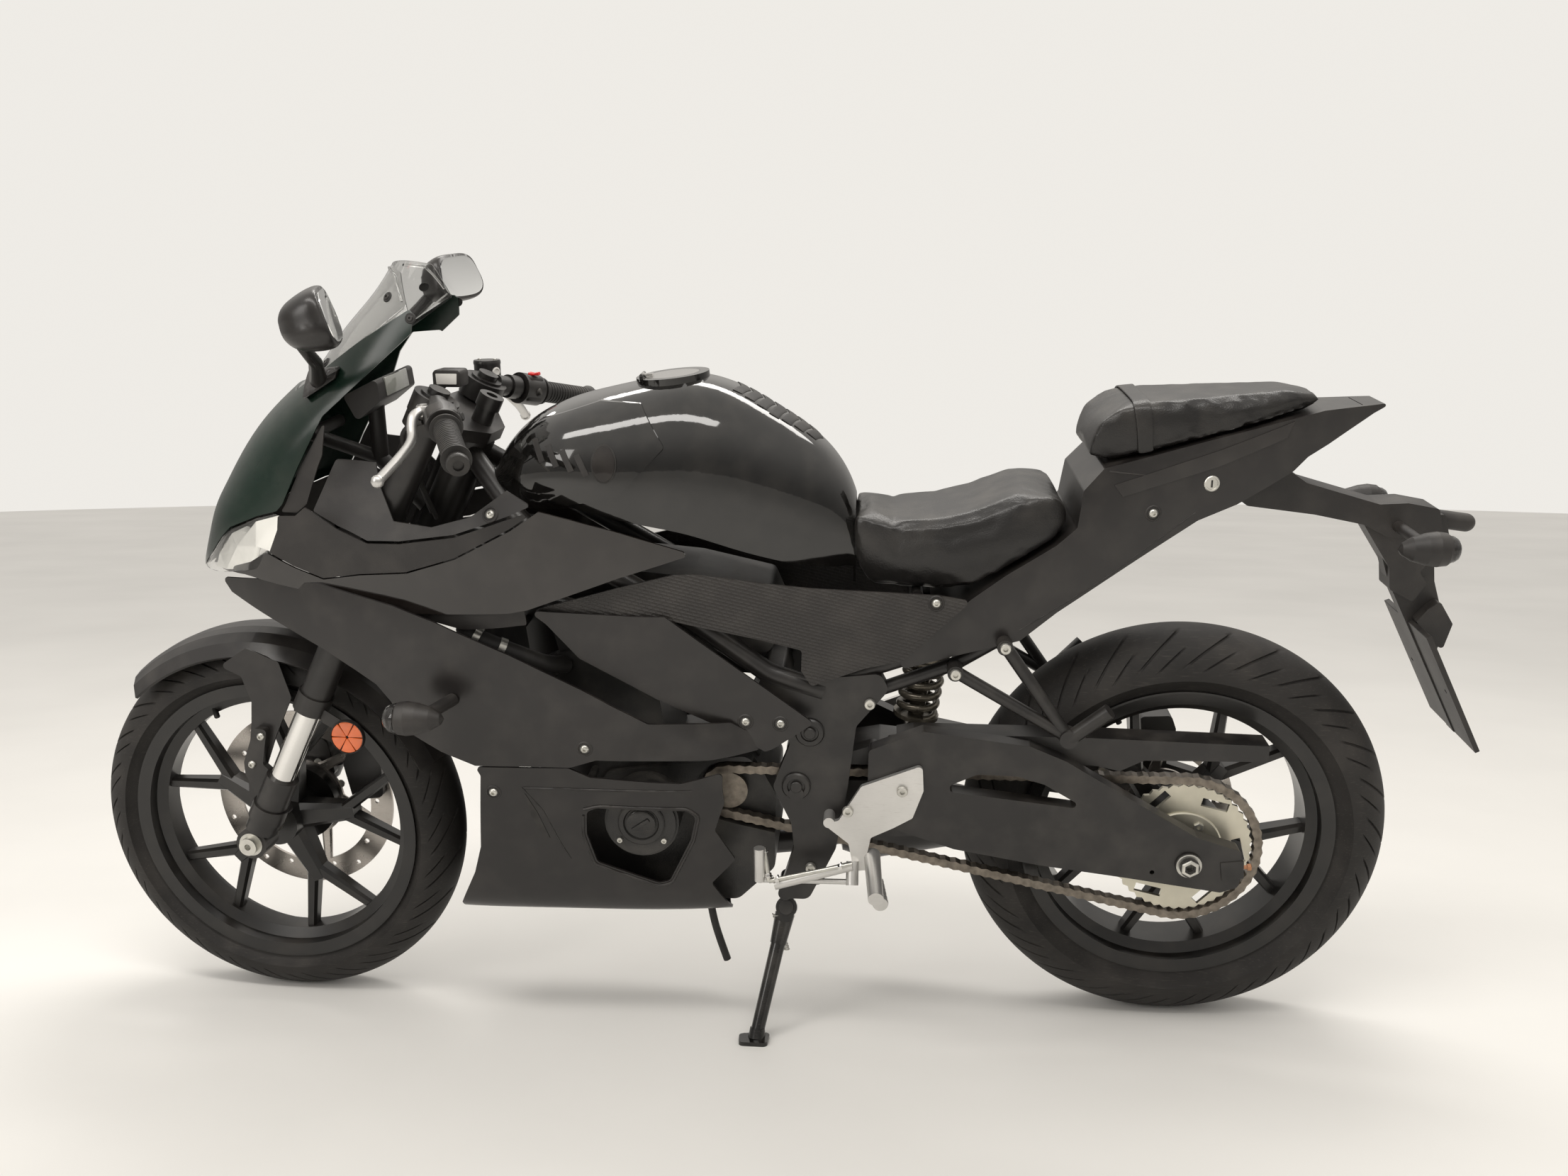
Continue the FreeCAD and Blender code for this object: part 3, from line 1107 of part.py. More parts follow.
def plate_bracket():
    # The arm under the tail, the hanging plate carrier and its cross stay.
    arm = side_plate([(-757, 812), (-735, 827.8), (-803, 867.0), (-835, 845), (-937, 815), (-975, 817), (-1018, 809), (-1029, 766), (-952, 768),
                      (-918, 786), (-850, 800)], 0, 56, 6)
    stub = rod(V(-1015, 0, 790), V(-1066, 0, 783), 13)
    carrier = side_plate([(-940, 775), (-966, 700), (-1086, 469), (-1094, 473), (-1046, 590), (-1050, 640),
                          (-1030, 700), (-1020, 775)], 0, 24, 3)
    sheet = side_plate([(-1000, 640), (-1088, 469), (-1094, 472), (-1007, 643)], 0, 170, 1)
    cheeks = side_plate([(-918, 788), (-962, 722), (-966, 690), (-1000, 672), (-1016, 700), (-1004, 716), (-1040, 762),
                         (-1029, 800)], 0, 44, 5)
    lamp = side_plate([(-1005, 646), (-1018, 664), (-1034, 676), (-1055, 643), (-1046, 606), (-1030, 612)], 0, 64, 4)
    knob = Part.makeSphere(13, V(-1066, 0, 783))
    stay = cylinder(V(-965, 0, 784), 8, 227)
    body = fuse([arm, stub, knob, carrier, cheeks, lamp, sheet, stay])
    normal = V(-171, 0, 88).normalize()
    for y in (PLATE_HOLE_SPAN / 2, -PLATE_HOLE_SPAN / 2):
        middle = V(PLATE_HOLE_PLACE[0], y, PLATE_HOLE_PLACE[1])
        body = body.cut(rod(middle - normal * 20, middle + normal * 20, PLATE_HOLE))
    return body


def teardrop(centre, tip, outline):
    # A lamp body turned about the line along X; outline gives reach from the tip and radius.
    points = [V(centre.x + tip * reach, centre.y, centre.z + radius) for reach, radius in outline]
    face = Part.Face(Part.makePolygon(points + points[:1]))
    return face.revolve(centre, X, 360)


SIGNAL_SHAPE = [(0, 0), (5, 8), (18, 16), (36, 21.5), (50, 23.5), (62, 22), (70, 16), (74, 7), (75, 0)]


def turn_signals():
    root = fairing_y(340, 572) + FACE_GAP
    front = rod(V(340, root, 572), V(360, 250, 572), 9)
    lamp = teardrop(V(332, 262, 571), 1, SIGNAL_SHAPE)
    rear = teardrop(V(-926, 138, 782), -1, SIGNAL_SHAPE)
    stalk = rod(V(-965, 113.8, 784), V(-965, 130, 783), 8)
    return both(fuse([front, lamp])) + both(fuse([rear, stalk]))


NOSE_FRONT = [(700, 752), (718, 754), (757, 743), (806, 725), (845, 702), (903, 663), (951, 620), (988, 577),
              (1007, 556), (1059, 513), (1129, 449), (1150, 436), (1170, 420)]
NOSE_HALF = [(700, 112), (760, 127), (850, 132), (950, 129), (1030, 120), (1090, 108), (1170, 96)]
NOSE_DEPTH = [(700, 150), (950, 140), (1170, 110)]
NOSE_LEVELS = (700, 730, 765, 805, 850, 900, 950, 1000, 1050, 1100, 1140, 1170)


def nose_section(z, inset):
    # A level outline: a rounded prow, then straight sides running back.
    front, half, depth = spread(z, NOSE_FRONT) - inset, spread(z, NOSE_HALF) - inset, spread(z, NOSE_DEPTH) - inset
    left = []
    for degrees in (0, 18, 36, 54, 72, 90):
        angle = math.radians(degrees)
        left.append(V(front - depth * (1 - math.cos(angle)), half * math.sin(angle), z))
    left.append(V(front - depth - 90, half - 2, z))
    left.append(V(front - depth - 190, half - 8, z))
    points = list(reversed(left)) + [V(p.x, -p.y, p.z) for p in left[1:]]
    curve = Part.BSplineCurve()
    curve.interpolate(points)
    lid = Part.LineSegment(points[-1], points[0])
    return Part.Wire([curve.toShape(), lid.toShape()])


def nose_solid(inset):
    return loft([nose_section(z, inset) for z in NOSE_LEVELS])


def nose_skin(outline, outside, wall):
    shell = nose_solid(outside).cut(nose_solid(outside + wall))
    back = min(x for x, z in outline) - 1
    prism = Part.Face(rounded_wire([V(x, -300, z) for x, z in outline], 3)).extrude(V(0, 600, 0))
    lid_side = Part.makeBox(600, 600, 600, V(back - 600, -300, 650))
    return shell.common(prism).cut(lid_side)


def nose_cowl():
    outline = [(758, 716), (752, 760), (735, 806), (712, 845), (673, 903), (630, 951), (585, 985), (570, 978),
               (516, 1013), (466, 1046), (384, 1094), (378, 1088), (381, 1063), (510, 954), (551, 883), (578, 832),
               (588, 822), (618, 814), (668, 793), (690, 774), (712, 750), (735, 727), (748, 716)]
    relief = [(400, 1030), (412, 1041), (452, 1039), (475, 1010), (500, 960), (440, 980)]
    room = side_plate(relief, -130, 140, 6)
    return nose_skin(outline, 0, PANEL).cut(room)


def windshield():
    # The screen tucks just inside the cowl's upper edge.
    outline = [(632, 948), (600, 1000), (520, 1075), (455, 1148), (436, 1152), (402, 1140), (386, 1090), (461, 1040),
               (511, 1006), (566, 970), (584, 974)]
    return nose_skin(outline, PANEL + FACE_GAP, 3.0)


def headlight_lenses():
    outline = [(745, 719), (733, 728), (710, 750), (688, 774), (667, 790), (618, 811), (590, 818), (576, 811),
               (596, 762), (614, 742), (640, 733), (700, 722)]
    ring = nose_skin(outline, 1.0, 4.0)
    middle = Part.makeBox(400, 70, 300, V(500, -35, 650))
    return [s for s in ring.cut(middle).Solids]


MIRROR_GLASS = (423.0, 283.0, 1106.0)
MIRROR_HALF = (60.0, 37.0)


def mirrors():
    # Each mirror's foot follows the cowl, and an arm carries its housing.
    glass = V(*MIRROR_GLASS)
    rise = V(0.282, 0, 0.959)
    forward = rise.cross(Y) * -1
    wires = []
    for away, share in ((0, 0.95), (4, 1.0), (22, 0.97), (40, 0.82), (53, 0.56), (59, 0.26)):
        turn = [math.radians(d) for d in range(0, 360, 30)]
        wires.append(smooth_loop([glass + forward * away + Y * (MIRROR_HALF[0] * share * math.cos(a))
                                  + rise * (MIRROR_HALF[1] * share * math.sin(a)) for a in turn]))
    housing = loft(wires)
    foot = nose_skin([(547, 1008), (485, 1019), (491, 1003), (540, 974)], -9.0, 8.7)
    foot = max(foot.Solids, key=lambda s: s.BoundBox.YMax)
    root = V(518, 104, 1000)
    stalk = [rod(root, V(496, 160, 1032), 12, 9), rod(V(496, 160, 1032), V(466, 262, 1078), 9), Part.makeSphere(9, V(496, 160, 1032))]
    outside = nose_solid(-0.3)
    return both(fuse([housing] + [s.cut(outside) for s in stalk] + [foot]))


GROOVE = [(560, 834), (532, 824), (498, 802), (456, 784), (410, 785), (330, 797), (254, 823), (205, 838)]


def cockpit_y(x, z):
    # Inside the groove the panel slopes in towards the rider.
    return cowl_y(x, z) - 0.55 * max(0.0, z - spread(x, GROOVE))


def cockpit():
    # The dials, their stay, and the dull panels between the cowl and the tank.
    dials = side_plate([(498, 973), (448, 997), (445, 966), (481, 938)], 0, 150, 6)
    stay = [rod(stem_point(800) + V(30, 0, 0), V(480, 0, 870), 12), rod(V(480, 0, 870), V(480, 0, 950), 12)]
    stay.append(rod(V(480, 0, 870), V(580, 0, 905), 10))
    reach = nose_y(580, 905) - PANEL - FACE_GAP
    stay.append(cylinder(V(580, 0, 905), 9, 2 * reach - 8))
    stay.append(cylinder(V(580, 0, 905), 6, 2 * reach))
    outer = [(587, 815), (561, 816), (545, 829), (532, 822), (498, 800), (456, 782), (410, 783), (330, 795), (254, 821),
             (214, 833), (252, 808), (331, 767), (403, 744), (472, 738), (527, 729), (570, 744), (606, 762), (590, 795)]
    inner = [(509, 888), (454, 883), (446, 856), (420, 811), (364, 806), (307, 822), (258, 856), (220, 840), (254, 825),
             (330, 799), (410, 787), (456, 786), (498, 804), (530, 826)]
    edge = [(508, 948), (549, 882), (575, 832), (583, 820), (561, 819), (545, 832), (523, 886), (516, 900)]
    panels = both(panel(cowl_y, outer, 3.0, 3)) + both(panel(cockpit_y, inner, 3.0, 3))
    panels += both(panel(lambda x, z: nose_y(x, z) - 6.0, edge, 3.0, 2))
    low = [(640, 716), (590, 738), (520, 728), (420, 736), (330, 752), (245, 745), (240, 668), (330, 662), (420, 682),
           (520, 700), (620, 696)]
    panels += both(panel(lambda x, z: min(cowl_y(x, z), fairing_y(x, z)) - 8.0, low, 2.5, 3))
    backs = nose_skin([(740, 718), (722, 735), (704, 758), (680, 784), (660, 797), (602, 820), (602, 716)], 20.0, 3.0)
    panels += backs.Solids
    return [fuse([dials] + stay)] + panels


def nose_y(x, z):
    # How wide the nose is at this place.
    depth = spread(z, NOSE_DEPTH)
    back = between(spread(z, NOSE_FRONT) - x, 0.0, depth)
    return spread(z, NOSE_HALF) * math.sqrt(1 - (1 - back / depth) ** 2)


def rearsets():
    plate = [(-170, 370), (-192, 376), (-224, 430), (-310, 464), (-312, 425), (-297, 382), (-270, 366), (-238, 350),
             (-232, 320), (-250, 300), (-214, 296), (-206, 340)]
    left = side_plate(plate, 146, 8, 6)
    peg = rod(V(-240, 140, 318), V(-246, 236, 300), 12, 11)
    post = [rod(V(x, FRAME_Y + 11, z), V(x, 150, z), 8) for x, z in ((-178, 372),)]
    lever = [rod(V(-212, 160, 310), V(-100, 160, 276), 7), rod(V(-78, 158, 334), V(-78, 158, 282), 8),
             rod(V(-78, 158, 283), V(-212, 158, 283), 4), rod(V(-212, 150, 312), V(-212, 166, 282), 9)]
    pedal = [rod(V(-212, 160, 316), V(-120, 164, 282), 7), rod(V(-122, 150, 282), V(-122, 178, 282), 8),
             rod(V(-212, 148, 316), V(-212, 166, 316), 11)]
    return [fuse([left, peg] + post + lever), mirrored(fuse([left, peg] + post + pedal))]


def pillion_footrests():
    bracket = [rod(V(-353, 128, 598), V(-513, 128, 502), 9), rod(V(-420, 128, 637), V(-513, 128, 502), 9),
               rod(V(-353, 108.4, 598), V(-353, 139, 598), 11), rod(V(-420, 102.4, 637), V(-420, 139, 637), 11),
               cylinder(V(-513, 128, 502), 13, 24)]
    peg = rod(V(-510, 128, 496), V(-566, 142, 548), 11)
    return both(fuse(bracket + [peg]))


def hoses():
    # A coolant elbow behind the side panel and the drain hose that hangs under the engine.
    elbow = bent_tube([V(338, 110.4, 652), V(337, 130, 652), V(296, 131, 630), V(222, 110, 592), V(205, 85.4, 585)],
                      13, 14)
    drain = bent_tube([V(11, 60, 214.6), V(6, 60, 172), V(-3, 60, 130), V(-16, 60, 88)], 6, 200)
    return [elbow, drain]


# Which piece gives way where two of one body meet.
SEATED = [("hand_levers", "handlebars"), ("cockpit", "frame"), ("cockpit", "nose_cowl"), ("cockpit", "headlight_lenses"),
          ("hoses", "engine"), ("belly_pan", "engine"), ("headlight_lenses", "mid_cowls"),
          ("mid_cowls", "side_fairings"), ("tail_cowl", "pillion_footrests"), ("side_covers", "tail_cowl"),
          ("tail_cowl", "tail_light"), ("turn_signals", "side_fairings")]
CRUMB = 200.0


def seat(group):
    # Trims each seated piece by its neighbour and drops the crumbs that are left.
    for name, neighbour in SEATED:
        if name in group:
            others = Part.makeCompound([s for piece in group[neighbour] for s in piece.Solids])
            trimmed = [piece.cut(others) for piece in group[name]]
            group[name] = [s for piece in trimmed for s in piece.Solids if s.Volume > CRUMB]


def build():
    place_all = {
        "frame": frame(), "engine": engine(), "muffler": muffler(), "fuel_tank": fuel_tank(),
        "tank_side_covers": tank_side_covers(), "filler_lid": filler_lid(), "rider_seat": rider_seat(),
        "pillion_seat": pillion_seat(), "tail_cowl": tail_cowl(), "tail_light": tail_light(),
        "plate_bracket": plate_bracket(), "turn_signals": turn_signals(), "nose_cowl": nose_cowl(),
        "windshield": windshield(), "headlight_lenses": headlight_lenses(), "mirrors": mirrors(),
        "cockpit": cockpit(), "side_fairings": side_fairings(), "hoses": hoses(),
        "mid_cowls": mid_cowls(), "belly_pan": belly_pan(), "side_covers": side_covers(), "rearsets": rearsets(),
        "pillion_footrests": pillion_footrests(), "swingarm": [fuse([swingarm(), rear_caliper()]), rear_axle()], "chain_guard": chain_guard(),
        "chain": chain(), "rear_shock": rear_shock(), "rear_wheel": rear_wheel(),
        "rear_tyre": tyre(REAR_AXLE, REAR_RADIUS, REAR_TYRE_HALF), "rear_disc": rear_disc(),
        "rear_sprocket": rear_sprocket(),
    }
    steer_all = {
        "fork_clamps": fork_clamps(), "fork_legs": fork_legs(), "fork_inner_tubes": fork_inner_tubes(),
        "handlebars": handlebars(), "grips": grips(), "hand_levers": hand_levers(), "front_fender": front_fender(),
        "front_axle": front_axle(), "front_caliper": front_caliper(), "front_wheel": front_wheel(),
        "front_tyre": tyre(FRONT_AXLE, FRONT_RADIUS, FRONT_TYRE_HALF), "front_disc": front_disc(),
    }
    nodes = {"side_stand": side_stand()}
    for placer, group in ((place, place_all), (steered, steer_all)):
        for name, shape in group.items():
            group[name] = shape if isinstance(shape, list) else [shape]
        seat(group)
        for name, solids in group.items():
            nodes[name] = placer(Part.makeCompound([s for piece in solids for s in piece.Solids]))
    return nodes


def main():
    os.makedirs("parts", exist_ok=True)
    nodes = build()
    box = FreeCAD.BoundBox()
    for shape in nodes.values():
        box.add(shape.optimalBoundingBox(True, False))
    shift = V(-box.Center.x, -box.Center.y, -box.ZMin)
    for name, shape in nodes.items():
        shape.translate(shift)
        shape.exportStep("parts/" + name + ".step")
        print(name, len(shape.Solids), shape.isValid(), [round(s.Volume / 1e3, 2) for s in shape.Solids])
    print("size", round(box.XLength, 1), round(box.YLength, 1), round(box.ZLength, 1), "shift", shift)


main()
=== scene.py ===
import json
import math

import bpy
from mathutils import Matrix, Vector


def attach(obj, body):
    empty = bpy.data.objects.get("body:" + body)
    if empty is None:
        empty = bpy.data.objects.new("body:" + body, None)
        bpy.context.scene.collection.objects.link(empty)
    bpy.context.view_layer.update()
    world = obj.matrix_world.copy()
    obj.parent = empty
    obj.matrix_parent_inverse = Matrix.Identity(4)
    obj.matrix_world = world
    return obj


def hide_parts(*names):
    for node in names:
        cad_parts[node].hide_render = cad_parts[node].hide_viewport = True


bl_info = {
    "name": "Sport Bike Dressing",
    "version": (1, 0, 0),
    "blender": (4, 5, 0),
    "location": "View3D > Sidebar > Sport Bike",
    "description": "Dresses the packed frame of a sport bike parked on its side stand",
    "category": "Object",
}

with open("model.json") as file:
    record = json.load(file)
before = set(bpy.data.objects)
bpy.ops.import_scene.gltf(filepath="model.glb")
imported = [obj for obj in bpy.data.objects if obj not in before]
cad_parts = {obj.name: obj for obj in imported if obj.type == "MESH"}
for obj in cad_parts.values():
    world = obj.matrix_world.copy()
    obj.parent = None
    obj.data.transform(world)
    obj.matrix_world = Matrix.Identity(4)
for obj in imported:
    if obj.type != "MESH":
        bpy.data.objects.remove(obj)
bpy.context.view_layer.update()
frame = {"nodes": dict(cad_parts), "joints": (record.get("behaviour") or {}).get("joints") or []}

# Places are written in millimetres on the upright bike: x to the front, y to its left, z up
MM = 0.001
JOINTS = {joint["name"]: joint for joint in frame["joints"]}
REAR_AXLE = Vector((-690, 0, 314)) * MM
FRONT_AXLE = Vector((690, 0, 293)) * MM
PARKED_STEER = math.radians(-4.8)


def bike_axes():
    """The upright bike's axes as they park in the row frame, from the rear wheel's joint."""
    joint = JOINTS["rear_wheel_spin"]
    left = Vector(joint["axis"]).normalized()
    ahead = left.cross(Vector((0, 1, 0))).normalized()
    up = ahead.cross(left)
    turn = Matrix((ahead, left, up)).transposed().to_4x4()
    origin = Vector(joint["pos_m"]) - turn.to_3x3() @ REAR_AXLE
    return Matrix.Translation(origin) @ turn


def steered_axes():
    """The same axes for what turns with the handlebars, which are parked slightly turned."""
    joint = JOINTS["steering_head"]
    middle = Vector(joint["pos_m"])
    turn = Matrix.Rotation(PARKED_STEER, 4, Vector(joint["axis"]))
    return Matrix.Translation(middle) @ turn @ Matrix.Translation(-middle) @ bike_axes()


UPRIGHT = bike_axes()
STEERED = steered_axes()


def at(x, y, z):
    """A place on the upright bike, from millimetres to metres."""
    return Vector((x, y, z)) * MM


# Shader groups

def wired(tree, kind, inputs, output=0, **settings):
    """One output of a new node with these settings; each input is linked to a socket or set to a value."""
    node = tree.nodes.new("ShaderNode" + kind)
    for label, value in settings.items():
        setattr(node, label, value)
    for label, value in inputs.items():
        if isinstance(value, bpy.types.NodeSocket):
            tree.links.new(value, node.inputs[label])
        else:
            node.inputs[label].default_value = value
    return node.outputs[output]


def new_group(name, output, **inputs):
    """An empty shader group with these inputs and one output, and the sockets inside it."""
    group = bpy.data.node_groups.new(name, "ShaderNodeTree")
    for label, default in inputs.items():
        kind = "NodeSocketFloat" if isinstance(default, float) else "NodeSocketColor"
        group.interface.new_socket(label, in_out="INPUT", socket_type=kind).default_value = default
    kind = "NodeSocketColor" if output == "Color" else "NodeSocketFloat"
    group.interface.new_socket(output, in_out="OUTPUT", socket_type=kind)
    return group, group.nodes.new("NodeGroupInput").outputs, group.nodes.new("NodeGroupOutput").inputs[0]


def object_place(tree):
    """Places in the object's own metres."""
    return wired(tree, "TexCoord", {}, "Object")


def clouds(group, scale, detail):
    """A noise texture in the object's own metres."""
    return wired(group, "TexNoise", {"Vector": object_place(group), "Scale": scale, "Detail": detail})


def product(group, first, second, clamp=False):
    return wired(group, "Math", {0: first, 1: second}, operation="MULTIPLY", use_clamp=clamp)


def tone_drift():
    """Darkens and lightens a colour in soft clouds."""
    group, given, end = new_group("Tone Drift", "Color", Color=(0.5, 0.5, 0.5, 1), Scale=6.0, Amount=0.3)
    less = wired(group, "Math", {0: 1.0, 1: given["Amount"]}, operation="SUBTRACT")
    more = wired(group, "Math", {0: 1.0, 1: given["Amount"]}, operation="ADD")
    share = wired(group, "MapRange", {"Value": clouds(group, given["Scale"], 5), "From Min": 0.3,
                                      "From Max": 0.7, "To Min": less, "To Max": more})
    tint = wired(group, "VectorMath", {0: given["Color"], "Scale": share}, operation="SCALE")
    group.links.new(tint, end)
    return group


def value_drift():
    """A value that wanders about its base, for roughness."""
    group, given, end = new_group("Value Drift", "Value", Base=0.4, Spread=0.1, Scale=8.0)
    centred = wired(group, "Math", {0: clouds(group, given["Scale"], 6), 1: 0.5}, operation="SUBTRACT")
    wide = product(group, centred, given["Spread"])
    total = wired(group, "Math", {0: wide, 1: given["Base"]}, operation="ADD", use_clamp=True)
    group.links.new(total, end)
    return group


def pebble_grain():
    """Small raised pebbles, as on moulded plastic, rubber and vinyl."""
    group, given, end = new_group("Pebble Grain", "Height", Scale=900.0, Depth=1.0)
    cells = wired(group, "TexVoronoi", {"Vector": object_place(group), "Scale": given["Scale"]}, "Distance",
                  feature="SMOOTH_F1")
    group.links.new(product(group, cells, given["Depth"]), end)
    return group


def settled_dust():
    """A mask of settled dust, thicker on faces that look up."""
    group, given, end = new_group("Settled Dust", "Mask", Scale=14.0, Amount=0.3)
    patchy = wired(group, "MapRange", {"Value": clouds(group, given["Scale"], 9), "From Min": 0.45,
                                       "From Max": 0.75})
    facing = wired(group, "SeparateXYZ", {"Vector": wired(group, "NewGeometry", {}, "Normal")}, "Z")
    upward = wired(group, "MapRange", {"Value": facing, "From Min": -0.6, "From Max": 1.0, "To Min": 0.25})
    group.links.new(product(group, product(group, patchy, upward), given["Amount"], clamp=True), end)
    return group


def rub_marks():
    """A mask of fine rub marks that run along one way."""
    group, given, end = new_group("Rub Marks", "Mask", Scale=60.0, Amount=0.3)
    stretched = wired(group, "Mapping", {"Vector": object_place(group), "Rotation": (0.3, 0.5, 0.2),
                                         "Scale": (1.0, 9.0, 14.0)})
    streaks = wired(group, "TexNoise", {"Vector": stretched, "Scale": given["Scale"], "Detail": 4})
    thin = wired(group, "MapRange", {"Value": streaks, "From Min": 0.58, "From Max": 0.72})
    group.links.new(product(group, thin, given["Amount"]), end)
    return group


GROUPS = {}
MATERIALS = {}
GROUP_MAKERS = {"tone": tone_drift, "drift": value_drift, "grain": pebble_grain, "dust": settled_dust,
                "scratch": rub_marks}
PALE_DUST = (0.32, 0.29, 0.25)


class Finish:
    """One material being mixed: its node tree and the calls that wire a shared effect into it."""

    def __init__(self, name):
        self.material = bpy.data.materials.new(name)
        self.material.use_nodes = True
        self.tree = self.material.node_tree
        self.inputs = self.tree.nodes["Principled BSDF"].inputs
        MATERIALS[name] = self.material

    def plain(self, **values):
        """Sets the shader's own sockets."""
        for label, value in values.items():
            self.inputs[label.replace("_", " ")].default_value = value

    def group(self, kind, **values):
        """Places a shared group with these values, and gives its output."""
        node = self.tree.nodes.new("ShaderNodeGroup")
        node.node_tree = GROUPS[kind]
        for label, value in values.items():
            node.inputs[label.capitalize()].default_value = value
        return node.outputs[0]

    def colour(self, colour, scale, amount):
        """A base colour that drifts a little in tone."""
        drift = self.group("tone", color=(*colour, 1), scale=scale, amount=amount)
        self.tree.links.new(drift, self.inputs["Base Color"])

    def roughness(self, base, spread, scale):
        drift = self.group("drift", base=base, spread=spread, scale=scale)
        self.tree.links.new(drift, self.inputs["Roughness"])

    def cover(self, mask, colour):
        """Lays a second colour over the base where the mask is."""
        base = self.inputs["Base Color"]
        mixed = wired(self.tree, "Mix", {"Factor": mask, "A": base.links[0].from_socket, "B": (*colour, 1)},
                      "Result", data_type="RGBA")
        self.tree.links.new(mixed, base)

    def dust(self, scale, amount, colour=PALE_DUST):
        self.cover(self.group("dust", scale=scale, amount=amount), colour)

    def rub(self, scale, amount, colour):
        self.cover(self.group("scratch", scale=scale, amount=amount), colour)

    def grain(self, scale, strength, distance):
        self.bump(self.group("grain", scale=scale, depth=1.0), strength, distance)

    def dashes(self, strength, distance):
        """Rows of small slanted dashes moulded in."""
        turned = wired(self.tree, "Mapping", {"Vector": object_place(self.tree),
                                              "Rotation": (math.radians(90), 0, math.radians(14))})
        rows = wired(self.tree, "TexBrick", {"Vector": turned, "Scale": 62, "Brick Width": 0.62,
                                             "Row Height": 0.3, "Mortar Size": 0.085, "Mortar Smooth": 0.6},
                     "Fac")
        self.bump(rows, strength, distance)

    def bump(self, height, strength, distance):
        """Adds a bump on top of any that is there."""
        normal = self.inputs["Normal"]
        below = {"Normal": normal.links[0].from_socket} if normal.is_linked else {}
        given = {"Strength": strength, "Distance": distance, "Height": height, **below}
        above = wired(self.tree, "Bump", given, "Normal")
        self.tree.links.new(above, normal)

    def coat(self, weight, roughness):
        self.plain(Coat_Weight=weight, Coat_Roughness=roughness)


